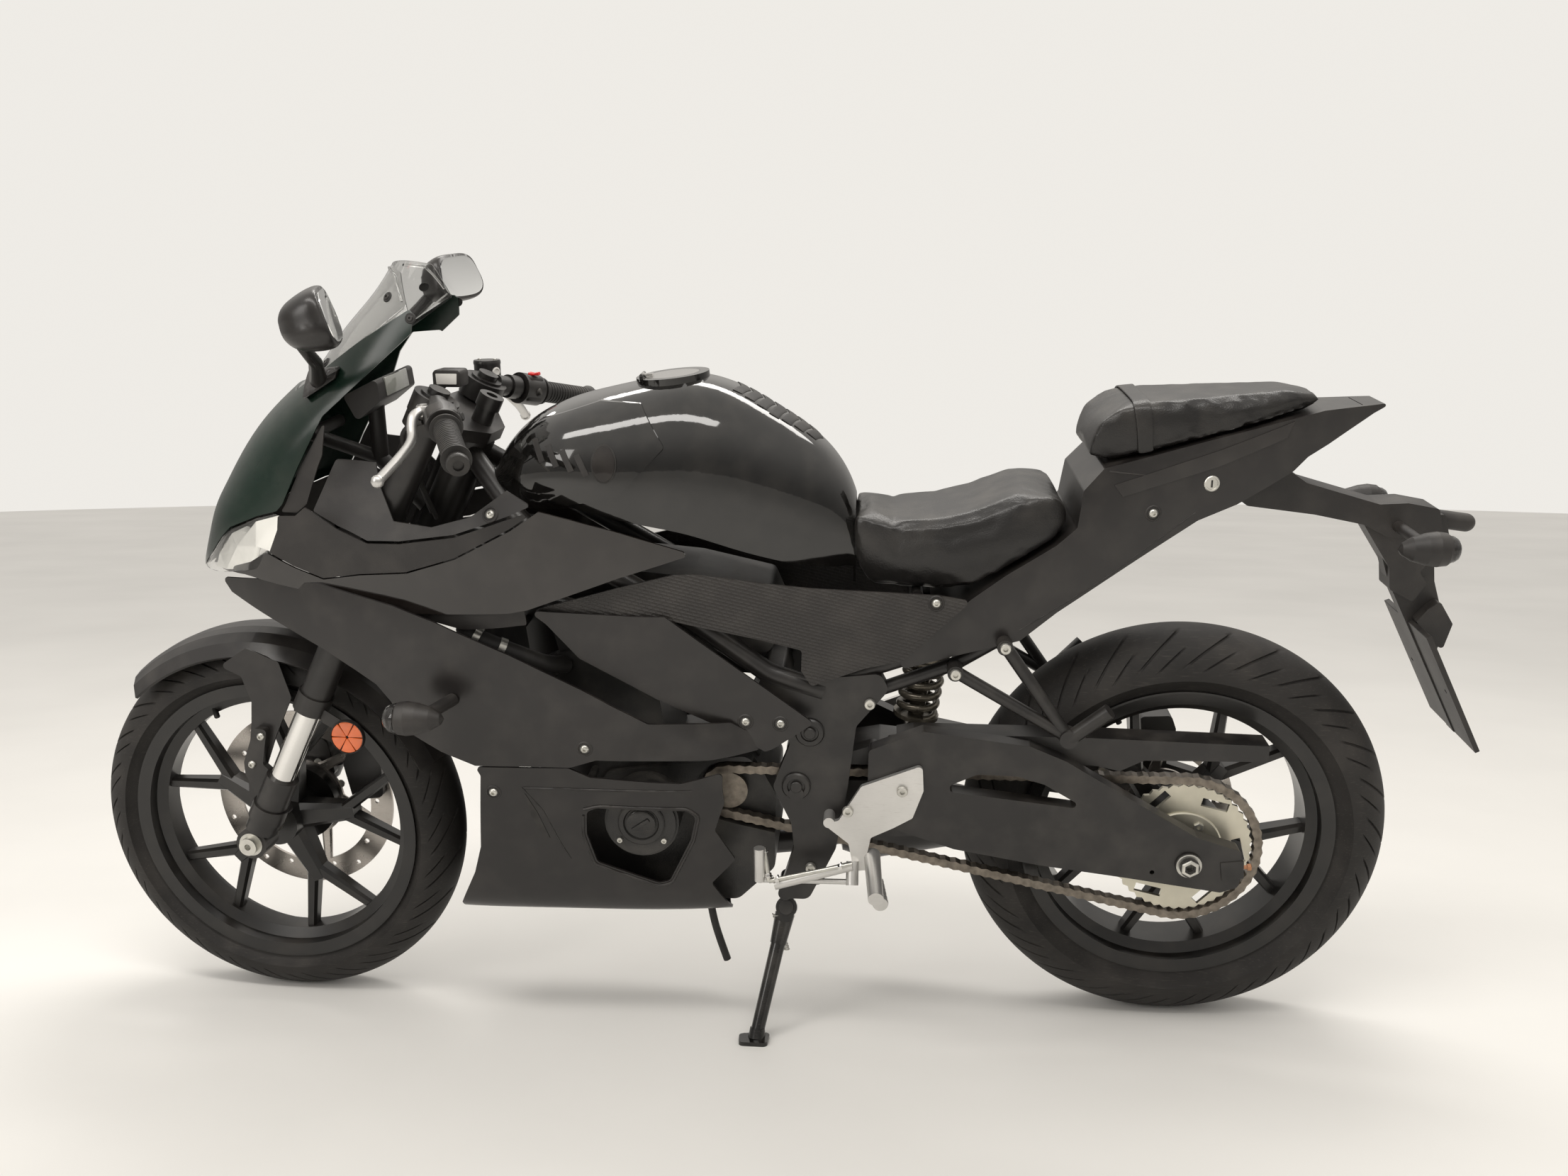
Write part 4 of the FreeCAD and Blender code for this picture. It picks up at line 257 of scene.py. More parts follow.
# Each finish: slot, tone with its clouds' size and depth, roughness with its spread and size, and the rest
FINISHES = {
    # The tank's deep black lacquer, the mid cowls' warm one, the satin fairings and the green-black nose
    "gloss_black": ("gloss_black_paint", ((0.006, 0.0056, 0.0052), 5, 0.3), (0.07, 0.07, 22),
        {"dust": (30, 0.05), "coat": (0.5, 0.03)}),
    "brown_gloss": ("gloss_dark_plastic", ((0.0105, 0.0082, 0.0072), 4, 0.3), (0.1, 0.08, 16),
        {"dust": (26, 0.07), "coat": (0.4, 0.05)}),
    "satin_fairing": ("gloss_dark_plastic", ((0.0125, 0.0108, 0.0102), 4, 0.25), (0.3, 0.08, 12),
        {"dust": (24, 0.08)}),
    "green_black": ("green_black_plastic", ((0.0016, 0.0105, 0.006), 3, 0.35), (0.26, 0.08, 9),
        {"specular": 0.35, "dust": (28, 0.05), "coat": (0.25, 0.18)}),
    # Dull moulded panels, and the side covers with their moulded dashes
    "textured_plastic": ("textured_plastic", ((0.0145, 0.0125, 0.0115), 5, 0.2), (0.5, 0.1, 14),
        {"grain": (1500, 0.25, 0.0004), "dust": (20, 0.1)}),
    "dashed_plastic": ("textured_plastic", ((0.018, 0.0155, 0.014), 5, 0.2), (0.44, 0.1, 14),
        {"dashes": (0.55, 0.0012), "grain": (1500, 0.15, 0.0004), "dust": (20, 0.1)}),
    # Powder-coated steel, sandy castings, wheel paint with brake dust, worn rubber
    "satin_black": ("black_paint", ((0.0125, 0.0112, 0.0105), 6, 0.22), (0.36, 0.1, 18),
        {"grain": (1100, 0.1, 0.0003), "dust": (22, 0.12)}),
    "engine_black": ("engine_black", ((0.0125, 0.0118, 0.011), 8, 0.3), (0.46, 0.12, 18),
        {"grain": (620, 0.35, 0.0005), "dust": (18, 0.22)}),
    "wheel_black": ("black_alloy", ((0.0095, 0.0088, 0.0082), 5, 0.25), (0.3, 0.1, 14),
        {"dust": (18, 0.12, (0.2, 0.17, 0.14))}),
    "tyre_rubber": ("tyre_rubber", ((0.0175, 0.0158, 0.0145), 9, 0.3), (0.68, 0.15, 20),
        {"specular": 0.35, "grain": (1400, 0.22, 0.0005),
         "dust": (16, 0.22, (0.13, 0.115, 0.1)), "rub": (40, 0.25, (0.09, 0.08, 0.07))}),
    # Leather-grained vinyl, soft rubber, and the stand's glossy enamel
    "seat_vinyl": ("seat_vinyl", ((0.0115, 0.0106, 0.0101), 6, 0.2), (0.36, 0.1, 10),
        {"specular": 0.45, "grain": (520, 0.35, 0.0007), "dust": (22, 0.1)}),
    "rubber_black": ("black_rubber", ((0.016, 0.0148, 0.014), 9, 0.25), (0.55, 0.12, 16),
        {"specular": 0.4, "grain": (1600, 0.2, 0.0004), "dust": (20, 0.15)}),
    "gloss_steel_black": ("black_steel", ((0.008, 0.0075, 0.007), 7, 0.3), (0.16, 0.12, 20),
        {"rub": (70, 0.2, (0.12, 0.1, 0.09)), "dust": (18, 0.15)}),
    # Brushed alloy, polished tubes, zinc, black oxide, the disc, the sprocket and the oily chain
    "silver_alloy": ("silver_alloy", ((0.62, 0.61, 0.59), 12, 0.08), (0.36, 0.15, 24),
        {"metallic": 0.85, "rub": (90, 0.35, (0.42, 0.4, 0.38)), "grain": (2200, 0.06, 0.0002)}),
    "hard_chrome": ("hard_chrome", ((0.76, 0.75, 0.73), 8, 0.05), (0.1, 0.08, 30),
        {"metallic": 1.0, "rub": (110, 0.25, (0.5, 0.48, 0.46))}),
    "zinc_bolt": ("satin_steel", ((0.56, 0.55, 0.51), 60, 0.2), (0.32, 0.2, 60),
        {"metallic": 0.9, "dust": (60, 0.2, (0.2, 0.17, 0.13))}),
    "dark_bolt": ("black_steel", ((0.03, 0.028, 0.026), 50, 0.3), (0.36, 0.15, 50), {"metallic": 0.4}),
    "disc_steel": ("disc_steel", ((0.43, 0.4, 0.37), 20, 0.12), (0.28, 0.14, 30),
        {"metallic": 0.95, "rub": (50, 0.4, (0.24, 0.2, 0.17))}),
    "sprocket_gold": ("sprocket_steel", ((0.62, 0.59, 0.49), 16, 0.12), (0.34, 0.16, 30),
        {"metallic": 0.85, "dust": (40, 0.25, (0.2, 0.17, 0.12))}),
    "chain_steel": ("chain_steel", ((0.2, 0.175, 0.145), 90, 0.35), (0.36, 0.25, 90),
        {"metallic": 0.75, "dust": (80, 0.5, (0.08, 0.055, 0.04))}),
    "spring_bronze": ("spring_steel", ((0.13, 0.115, 0.09), 14, 0.15), (0.28, 0.1, 20),
        {"metallic": 0.6, "dust": (20, 0.15)}),
    # The smoked screen, the clear, red and orange lamp plastics, and the plated bowl
    "screen_smoke": ("clear_screen", ((0.62, 0.62, 0.61), 4, 0.03), (0.03, 0.02, 20), {"clear": 0.96}),
    "lamp_clear": ("clear_lens", ((0.97, 0.97, 0.96), 4, 0.03), (0.02, 0.02, 20), {"clear": 1.0}),
    "lamp_red": ("red_lens", ((0.62, 0.016, 0.02), 4, 0.03), (0.08, 0.02, 20), {"clear": 0.75}),
    "lamp_amber": ("signal_lens", ((0.66, 0.115, 0.012), 30, 0.2), (0.14, 0.06, 40), {"coat": (1.0, 0.03)}),
    "reflector_chrome": ("hard_chrome", ((0.84, 0.84, 0.83), 20, 0.05), (0.07, 0.05, 30),
        {"metallic": 1.0}),
    # Red switch plastic, the unlit dial, off-white plastic, the adjusters' coppery tips and silvered glass
    "kill_red": ("red_lens", ((0.62, 0.02, 0.018), 30, 0.12), (0.35, 0.1, 40), {}),
    "dial_grey": ("textured_plastic", ((0.34, 0.345, 0.31), 30, 0.06), (0.12, 0.05, 30),
        {"coat": (0.8, 0.03)}),
    "pale_plastic": ("textured_plastic", ((0.72, 0.7, 0.66), 30, 0.06), (0.3, 0.1, 30), {}),
    "copper_tip": ("satin_steel", ((0.45, 0.22, 0.12), 50, 0.2), (0.35, 0.15, 50), {"metallic": 0.8}),
    "mirror_glass": ("hard_chrome", ((0.82, 0.83, 0.83), 10, 0.02), (0.03, 0.02, 20), {"metallic": 1.0}),
    # The pale painted floor, which is no part of the bike
    "floor_pale": (None, ((0.8, 0.785, 0.75), 1.2, 0.04), (0.55, 0.1, 3), {"specular": 0.3}),
}


def mix_finish(name, colour, roughness, steps):
    """Makes one material from its row in the table."""
    mix = Finish(name)
    mix.colour(*colour)
    mix.roughness(*roughness)
    for step, values in steps.items():
        if step == "metallic":
            mix.plain(Metallic=values)
        elif step == "specular":
            mix.plain(Specular_IOR_Level=values)
        elif step == "clear":
            mix.plain(Transmission_Weight=values, IOR=1.49)
        else:
            getattr(mix, step)(*values)


# The carried-over nodes that take each finish
NODES_IN = {
    "satin_black": ("frame", "muffler", "pillion_footrests", "swingarm", "chain_guard", "fork_clamps",
                    "fork_legs", "handlebars", "front_caliper"),
    "engine_black": ("engine",), "gloss_black": ("fuel_tank", "tank_side_covers"),
    "hard_chrome": ("filler_lid", "fork_inner_tubes"), "seat_vinyl": ("rider_seat", "pillion_seat"),
    "satin_fairing": ("tail_cowl", "mirrors", "side_fairings", "belly_pan", "front_fender"),
    "lamp_red": ("tail_light",), "textured_plastic": ("plate_bracket", "turn_signals", "cockpit"),
    "green_black": ("nose_cowl",), "screen_smoke": ("windshield",), "lamp_clear": ("headlight_lenses",),
    "rubber_black": ("hoses", "grips"), "brown_gloss": ("mid_cowls",), "dashed_plastic": ("side_covers",),
    "silver_alloy": ("rearsets", "hand_levers"), "chain_steel": ("chain",), "spring_bronze": ("rear_shock",),
    "gloss_steel_black": ("side_stand",), "zinc_bolt": ("front_axle",),
    "wheel_black": ("front_wheel", "rear_wheel"), "tyre_rubber": ("front_tyre", "rear_tyre"),
    "disc_steel": ("front_disc", "rear_disc"), "sprocket_gold": ("rear_sprocket",),
}


# Stage

class StageSettings(bpy.types.PropertyGroup):
    """Camera and lights."""

    focal: bpy.props.FloatProperty(
        name="Focal Length", description="Lens that matches the photograph", default=31.996, unit="CAMERA")
    sky: bpy.props.FloatProperty(
        name="Sky Strength", description="Brightness of the even light all round", default=0.75)


CAMERA_PLACE = (-0.188613, 1.974189, 0.914126)
CAMERA_YAW, CAMERA_PITCH, CAMERA_ROLL = 0.0674954, 0.1207536, 0.0009558
SENSOR_WIDTH = 36
WARM_WHITE = (1.0, 0.97, 0.93)
WALL = (0.86, 0.835, 0.79, 1)
ROOM = (1.0, 0.96, 0.9, 1)
FLOOR_RADIUS = 14
# Each light: its name, place, size, power in watts, and the point that it looks at
LIGHTS = (("ceiling_near", (0.3, 1.5, 3.2), (3.6, 0.5), 50, (0, 0, 0.5)),
          ("ceiling_far", (-0.4, -1.5, 3.2), (3.6, 0.5), 45, (0, 0, 0.5)),
          ("side_panel", (2.6, 2.6, 1.9), (1.2, 1.6), 28, (0.3, 0, 0.6)))


def photo_camera(settings):
    """The camera where the photograph was taken from."""
    calm()
    bpy.ops.object.camera_add(location=CAMERA_PLACE)
    camera = bpy.context.object
    camera.name = "photo_camera"
    turn = (Matrix.Rotation(CAMERA_YAW, 4, "Z") @ Matrix.Rotation(CAMERA_PITCH, 4, "X")
            @ Matrix.Rotation(CAMERA_ROLL, 4, "Y"))
    facing = Matrix(((-1, 0, 0, 0), (0, 0, 1, 0), (0, 1, 0, 0), (0, 0, 0, 1)))
    camera.matrix_world = Matrix.Translation(camera.location) @ turn @ facing
    camera.data.sensor_fit = "HORIZONTAL"
    camera.data.sensor_width = SENSOR_WIDTH
    camera.data.lens = settings.focal
    bpy.context.scene.camera = camera


def soft_light(name, place, size, power, aim):
    """A large area light that looks at a point."""
    bpy.ops.object.light_add(type="AREA", location=place)
    light = bpy.context.object
    light.name = name
    light.data.shape = "RECTANGLE"
    light.data.size, light.data.size_y = size
    light.data.energy = power
    light.data.color = WARM_WHITE
    light.rotation_euler = (Vector(place) - Vector(aim)).to_track_quat("Z", "Y").to_euler()


def pale_sky(strength):
    """An even light that the camera and glass see as an off-white wall, and gloss sees dimmer low down."""
    world = bpy.data.worlds.new("pale_sky")
    bpy.context.scene.world = world
    world.use_nodes = True
    tree = world.node_tree
    light = tree.nodes["Background"]
    light.inputs["Color"].default_value = (*WARM_WHITE, 1)
    light.inputs["Strength"].default_value = strength
    wall = wired(tree, "Background", {"Color": WALL})
    room = wired(tree, "Background", {"Color": ROOM, "Strength": height_in_room(tree)})
    path = tree.nodes.new("ShaderNodeLightPath").outputs
    rays = {0: path["Is Camera Ray"], 1: path["Is Transmission Ray"]}
    seen = wired(tree, "Math", rays, operation="MAXIMUM")
    lit = wired(tree, "MixShader", {"Fac": path["Is Glossy Ray"], 1: light.outputs[0], 2: room})
    whole = wired(tree, "MixShader", {"Fac": seen, 1: lit, 2: wall})
    tree.links.new(whole, tree.nodes["World Output"].inputs["Surface"])


def height_in_room(tree):
    """How bright the room is at each height: dim by the floor, bright towards the ceiling."""
    way = wired(tree, "TexCoord", {}, "Generated")
    height = wired(tree, "SeparateXYZ", {"Vector": way}, "Z")
    return wired(tree, "MapRange", {"Value": height, "From Min": -0.05, "From Max": 0.75, "To Min": 0.3,
                                    "To Max": 1.0}, interpolation_type="SMOOTHSTEP")


class BIKE_OT_stage(bpy.types.Operator):
    """Camera, lights, sky and floor"""

    bl_idname = "sport_bike.stage"
    bl_label = "Stage"

    def execute(self, context):
        settings = context.scene.sport_bike_stage
        photo_camera(settings)
        pale_sky(settings.sky)
        for row in LIGHTS:
            soft_light(*row)
        floor = polygon(96, FLOOR_RADIUS)
        floor.name = "floor"
        paint(floor, "floor_pale")
        bpy.context.scene.view_settings.view_transform = "Standard"
        return {"FINISHED"}


class BIKE_OT_finishes(bpy.types.Operator):
    """All materials, and the ones on the carried-over nodes"""

    bl_idname = "sport_bike.finishes"
    bl_label = "Finishes"

    def execute(self, context):
        for kind, maker in GROUP_MAKERS.items():
            GROUPS[kind] = maker()
        for name, (_, *row) in FINISHES.items():
            mix_finish(name, *row)
        for finish, names in NODES_IN.items():
            for name in names:
                paint(frame["nodes"][name], finish)
        return {"FINISHED"}


# Modelling helpers

SIDES = (1, -1)
# The bodies that turn with the handlebars
STEERED_BODIES = ("steering", "front_wheel_body")


def calm():
    """Leaves object mode with nothing selected."""
    if bpy.context.object and bpy.context.object.mode != "OBJECT":
        bpy.ops.object.mode_set(mode="OBJECT")
    bpy.ops.object.select_all(action="DESELECT")


def pick(*parts):
    """Selects only these objects, the first one active."""
    calm()
    for part in parts:
        part.select_set(True)
    bpy.context.view_layer.objects.active = parts[0]


def paint(part, finish):
    part.data.materials.clear()
    part.data.materials.append(MATERIALS[finish])


def place_in_mesh(part):
    """Puts a part's place, turn and size into its mesh."""
    pick(part)
    bpy.ops.object.transform_apply(location=True, rotation=True, scale=True)


def faces_outwards():
    """Turns the active part's faces outwards."""
    bpy.ops.object.mode_set(mode="EDIT")
    bpy.ops.mesh.select_all(action="SELECT")
    bpy.ops.mesh.normals_make_consistent(inside=False)
    bpy.ops.object.mode_set(mode="OBJECT")


def polygon(count, radius=1.0, height=0.0):
    """A filled polygon to start a part from."""
    calm()
    bpy.ops.mesh.primitive_circle_add(vertices=count, radius=radius, fill_type="NGON",
                                      location=(0, 0, height))
    return bpy.context.object


def extrude(move):
    """Extrudes what is selected by a move in metres."""
    bpy.ops.mesh.extrude_region_move(TRANSFORM_OT_translate={"value": move})


def turned_part(profile, vertices=32):
    """A round part standing on the origin along Z, drawn up ring by ring from (height, radius) in mm."""
    height, radius = profile[0]
    part = polygon(vertices, radius * MM, height * MM)
    bpy.ops.object.mode_set(mode="EDIT")
    for (low, before), (high, after) in zip(profile, profile[1:]):
        extrude((0, 0, (high - low) * MM))
        share = after / before
        bpy.ops.transform.resize(value=(share, share, 1), center_override=(0, 0, high * MM))
    bpy.ops.object.mode_set(mode="OBJECT")
    bpy.ops.object.transform_apply(location=True, rotation=False, scale=False)
    return part


def flat_part(outline, start, end, bevel=1.0, segments=2):
    """A plate with this x, z outline in mm between two y places, its edges bevelled."""
    plate = polygon(len(outline))
    for vertex, (x, z) in zip(plate.data.vertices, outline):
        vertex.co = at(x, start, z)
    bpy.ops.object.mode_set(mode="EDIT")
    extrude((0, (end - start) * MM, 0))
    bpy.ops.object.mode_set(mode="OBJECT")
    if bevel:
        soften(plate, bevel, segments)
    return plate


def rectangle(half_x, half_z):
    """A rectangle's outline about the origin."""
    return [(-half_x, -half_z), (half_x, -half_z), (half_x, half_z), (-half_x, half_z)]


def use_modifier(part, kind, **values):
    """Adds a modifier with these values and applies it."""
    pick(part)
    bpy.ops.object.modifier_add(type=kind)
    modifier = part.modifiers[-1]
    for label, value in values.items():
        setattr(modifier, label, value)
    bpy.ops.object.modifier_apply(modifier=modifier.name)


def soften(part, width, segments=2, angle=30):
    """Rounds a part's sharp edges with an applied bevel."""
    use_modifier(part, "BEVEL", width=width * MM, segments=segments, limit_method="ANGLE",
                 angle_limit=math.radians(angle))


def stand(part, place, axis=(0, 0, 1)):
    """Moves a part from the origin to a place in mm, with its Z along axis."""
    facing = Vector(axis).normalized().to_track_quat("Z", "Y").to_matrix().to_4x4()
    part.matrix_world = Matrix.Translation(at(*place)) @ facing
    return part


def turned_at(part, place, angle, axis):
    """Moves a part from the origin to a place in mm, turned about one axis."""
    part.matrix_world = Matrix.Translation(at(*place)) @ Matrix.Rotation(angle, 4, axis)
    return part


def duplicate(part):
    """A copy with a mesh of its own."""
    pick(part)
    bpy.ops.object.duplicate()
    return bpy.context.object


def scattered(part, places):
    """Copies of one part at (place, axis) pairs, joined into one; the first part is used up."""
    copies = [part] + [duplicate(part) for _ in places[1:]]
    for copy, (place, axis) in zip(copies, places):
        stand(copy, place, axis)
    return joined(copies)


def joined(parts):
    """One object made of several parts, each part's place kept in the mesh."""
    for part in parts:
        place_in_mesh(part)
    pick(*parts)
    if len(parts) > 1:
        bpy.ops.object.join()
    return bpy.context.object


def both_sides(part):
    """The part and its mirror image across the bike's middle."""
    place_in_mesh(part)
    twin = duplicate(part)
    bpy.ops.transform.mirror(constraint_axis=(False, True, False), center_override=(0, 0, 0))
    bpy.ops.object.transform_apply(location=True, rotation=True, scale=True)
    faces_outwards()
    return joined([part, twin])


def settle(piece, name, finish, body="chassis", smooth=35, replaces=()):
    """Parks a piece that was modelled on the upright bike, and gives it its finish and body."""
    place_in_mesh(piece)
    piece.name = piece.data.name = name
    piece.matrix_world = STEERED if body in STEERED_BODIES else UPRIGHT
    bpy.ops.object.transform_apply(location=True, rotation=True, scale=True)
    faces_outwards()
    bpy.ops.object.shade_smooth_by_angle(angle=math.radians(smooth))
    paint(piece, finish)
    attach(piece, body)
    if replaces:
        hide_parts(*replaces)


def nurbs_line(places, radius, resolution, sides):
    """A smooth round line of this radius in mm, through space, near these places in metres."""
    calm()
    bpy.ops.curve.primitive_nurbs_path_add()
    line = bpy.context.object
    line.data.splines.clear()
    spline = line.data.splines.new("NURBS")
    spline.points.add(len(places) - 1)
    for point, place in zip(spline.points, places):
        point.co = (*place, 1)
    spline.order_u = 3
    spline.use_endpoint_u = True
    spline.resolution_u = resolution
    line.data.bevel_depth = radius * MM
    line.data.bevel_resolution = sides
    line.data.use_fill_caps = True
    return line


def tube(points, radius, resolution=4, sides=3):
    """A round tube along a smooth line through space, in mm, as a mesh."""
    pick(nurbs_line([at(*point) for point in points], radius, resolution, sides))
    bpy.ops.object.convert(target="MESH")
    return bpy.context.object


def placed_in_scene(name, mesh):
    """A new object with this mesh."""
    piece = bpy.data.objects.new(name, mesh)
    bpy.context.scene.collection.objects.link(piece)
    return piece


def grid_part(places, closed=False):
    """A sheet of quads over rows of places in metres, where no operator gives the shape."""
    rows, columns = len(places), len(places[0])
    faces = []
    for i in range(rows if closed else rows - 1):
        for j in range(columns if closed else columns - 1):
            i2, j2 = (i + 1) % rows, (j + 1) % columns
            faces.append((i * columns + j, i * columns + j2, i2 * columns + j2, i2 * columns + j))
    mesh = bpy.data.meshes.new("sheet")
    mesh.from_pydata([p for row in places for p in row], [], faces)
    return placed_in_scene("sheet", mesh)


def merged_copy(node, name, threshold):
    """A copy of a carried-over node, its loose triangles merged."""
    copy = placed_in_scene(name, frame["nodes"][node].data.copy())
    pick(copy)
    bpy.ops.object.mode_set(mode="EDIT")
    bpy.ops.mesh.select_all(action="SELECT")
    bpy.ops.mesh.remove_doubles(threshold=threshold)
    bpy.ops.object.mode_set(mode="OBJECT")
    return copy


def socket_bolt(radius, height):
    """A round-headed bolt with a hexagon socket, head down to its seat at the origin."""
    return turned_part([(0, radius), (height * 0.7, radius), (height * 0.95, radius * 0.86),
                        (height, radius * 0.62), (height, radius * 0.45), (height * 0.45, radius * 0.45)], 24)


def hex_nut(radius, height, bore):
    """A six-sided nut on a thin washer, open in the middle."""
    washer = turned_part([(0, radius * 1.3), (height * 0.14, radius * 1.3)], 32)
    top = turned_part([(height * 0.14, radius), (height * 0.86, radius), (height, radius * 0.88),
                       (height, bore), (height * 0.2, bore)], 6)
    return joined([washer, top])


# Hoses

DRAIN_ROUTE = ((11, 60, 214.6), (6, 60, 172), (-3, 60, 130), (-16, 60, 88))
DRAIN_RADIUS = 6.0
ELBOW_ROUTE = ((338, 108, 652), (337, 122, 652), (334, 134, 652), (312, 133, 638), (296, 131, 630),
               (250, 119, 606), (222, 110, 592), (205, 84, 585))
CLAMP_PLACES = (((318, 133.5, 642), (1, 0, 0.55)), ((286, 128.5, 624.5), (1, 0.25, 0.55)))


class BIKE_OT_hoses(bpy.types.Operator):
    """Hanging drain hose and the coolant elbow with its clamps"""

    bl_idname = "sport_bike.hoses"
    bl_label = "Hoses"

    def execute(self, context):
        route = [UPRIGHT @ at(*place) for place in DRAIN_ROUTE]
        hose = nurbs_line(route, DRAIN_RADIUS, 8, 4)
        hose.name = hose.data.name = "drain_hose"
        hose.location = (0, 0, 0)
        paint(hose, "rubber_black")
        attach(hose, "chassis")
        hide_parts("hoses")
        settle(tube(ELBOW_ROUTE, 13, 8, 6), "coolant_elbow", "rubber_black", replaces=("hoses",))
        clamps = []
        for place, axis in CLAMP_PLACES:
            ring = turned_part([(-5, 13.3), (-5, 15), (5, 15), (5, 13.3)], 32)
            ear = flat_part([(-5, 13), (5, 13), (5, 23), (-5, 23)], -4, 4, 1)
            clamps.append(stand(joined([ring, ear]), place, axis))
        settle(joined(clamps), "hose_clamps", "zinc_bolt")
        return {"FINISHED"}


# Seats

RIDER_SEAM = ((-505, 812), (-486, 779), (-424, 740), (-377, 716), (-330, 711), (-225, 711))
PILLION_SEAM = ((-522, 893), (-552, 886), (-599, 900), (-690, 923), (-780, 945), (-838, 958))
SEAM_WIDTH, SEAM_DEPTH = 5.0, 1.5
CLOTH_FRAMES = 20
# Where the rider seat's forward reach starts, in metres on the upright bike, and over what length it grows
NOSE_START, NOSE_RUN = -0.3, 0.07
STRAP_X = (-582, -583.5, -591, -598.5, -606, -607.5)
STRAP_LEAN = 10


class SeatSettings(bpy.types.PropertyGroup):
    """How the padding swells under its cover."""

    voxel: bpy.props.FloatProperty(
        name="Voxel", description="Cell of the remeshed cover", default=0.005, unit="LENGTH")
    shrink: bpy.props.FloatProperty(
        name="Shrink", description="How much smaller the pad starts", default=0.003, unit="LENGTH")
    pressure: bpy.props.FloatProperty(
        name="Pressure", description="Push of the foam on the cover", default=4.0)
    forward: bpy.props.FloatProperty(
        name="Forward", description="How far the rider seat's nose reaches to the tank", default=0.004,
        unit="LENGTH")
    cap: bpy.props.FloatProperty(
        name="Cap", description="Furthest that any point may swell", default=0.006, unit="LENGTH")


def swelled_pad(node, name, settings):
    """The cover of a seat: its solid remeshed, blown up by simulated pressure and smoothed."""
    pad = merged_copy(node, name, 0.0002)
    use_modifier(pad, "REMESH", mode="VOXEL", voxel_size=settings.voxel, use_smooth_shade=True)
    use_modifier(pad, "SMOOTH", factor=0.5, iterations=8)
    use_modifier(pad, "DISPLACE", strength=-settings.shrink, mid_level=0.0)
    start = [vertex.co.copy() for vertex in pad.data.vertices]
    blow_up(pad, settings.pressure)
    turn = UPRIGHT.to_3x3().inverted()
    rises = [(turn @ vertex.normal).z for vertex in pad.data.vertices]
    for vertex, rest, rise in zip(pad.data.vertices, start, rises):
        move = vertex.co - rest
        reach = settings.shrink if rise < -0.5 else settings.cap
        if move.length > reach:
            vertex.co = rest + move * (reach / move.length)
    use_modifier(pad, "SMOOTH", factor=0.5, iterations=3)
    pad.data.transform(UPRIGHT.inverted())
    for vertex in pad.data.vertices:
        vertex.co.x += settings.forward * max(0.0, min(1.0, (vertex.co.x - NOSE_START) / NOSE_RUN))
    pad.data.transform(UPRIGHT)
    use_modifier(pad, "SUBSURF", levels=1, render_levels=1)
    return pad


def blow_up(pad, pressure):
    """Twenty frames of cloth under pressure, with gravity off, applied to the mesh."""
    pick(pad)
    bpy.ops.object.modifier_add(type="CLOTH")
    cloth = pad.modifiers[-1]
    cloth.settings.use_pressure = True
    cloth.settings.uniform_pressure_force = pressure
    cloth.settings.effector_weights.gravity = 0
    cloth.settings.quality = 4
    cloth.settings.tension_stiffness = 30
    cloth.settings.compression_stiffness = 30
    cloth.point_cache.frame_start = 1
    cloth.point_cache.frame_end = CLOTH_FRAMES
    for step in range(1, CLOTH_FRAMES + 1):
        bpy.context.scene.frame_set(step)
    bpy.ops.object.modifier_apply(modifier=cloth.name)
    bpy.context.scene.frame_set(1)


def seam(pad, points):
    """Sinks a sewn seam into a pad along a line of (x, z) places, in mm."""
    back = UPRIGHT.inverted()
    normals = [vertex.normal.copy() for vertex in pad.data.vertices]
    places = [vertex.co.copy() for vertex in pad.data.vertices]
    for i, point in enumerate(places):
        place = back @ point / MM
        for start, end in zip(points, points[1:]):
            gap = Vector((place.x, place.z)) - Vector(start)
            run = Vector(end) - Vector(start)
            share = max(0.0, min(1.0, gap.dot(run) / run.length_squared))
            away = (gap - run * share).length
            if away < SEAM_WIDTH:
                pad.data.vertices[i].co -= normals[i] * (SEAM_DEPTH * MM * (1 - away / SEAM_WIDTH))


def grab_strap(pad):
    """The grab strap over the pillion seat, wrapped to the cover, with thick edges."""
    rows = []
    for step in range(61):
        angle = math.radians(-26 + 232 * step / 60)
        rows.append([UPRIGHT @ at(x - 6 + STRAP_LEAN * math.sin(angle), 130 * math.cos(angle),
                                  912 + 80 * math.sin(angle)) for x in STRAP_X])
    strap = grid_part(rows)
    use_modifier(strap, "SHRINKWRAP", target=pad, wrap_method="NEAREST_SURFACEPOINT", offset=0.0012)
    use_modifier(strap, "SMOOTH", factor=0.5, iterations=4)
    use_modifier(strap, "SOLIDIFY", thickness=0.0026, offset=1.0)
    use_modifier(strap, "SUBSURF", levels=1, render_levels=1)
    strap.name = strap.data.name = "pillion_strap"
    return strap


class BIKE_OT_seats(bpy.types.Operator):
    """Rider's and pillion's seats with the strap"""

    bl_idname = "sport_bike.seats"
    bl_label = "Seats"

    def execute(self, context):
        settings = context.scene.sport_bike_seats
        rider = swelled_pad("rider_seat", "rider_pad", settings)
        pillion = swelled_pad("pillion_seat", "pillion_pad", settings)
        strap = grab_strap(pillion)
        seam(rider, RIDER_SEAM)
        seam(pillion, PILLION_SEAM)
        for pad, node in ((rider, "rider_seat"), (pillion, "pillion_seat"), (strap, None)):
            pick(pad)
            bpy.ops.object.shade_smooth()
            paint(pad, "seat_vinyl")
            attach(pad, "chassis")
            if node:
                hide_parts(node)
        return {"FINISHED"}


# Tyres

class TyreSettings(bpy.types.PropertyGroup):
    """The tread's pattern."""

    pitches: bpy.props.IntProperty(name="Pitches", description="How often the pattern repeats", default=26)
    depth: bpy.props.FloatProperty(
        name="Groove Depth", description="Depth of a tread groove", default=0.0032, unit="LENGTH")


GROOVE_STEPS = (0.0, 0.22, 0.78, 1.0)
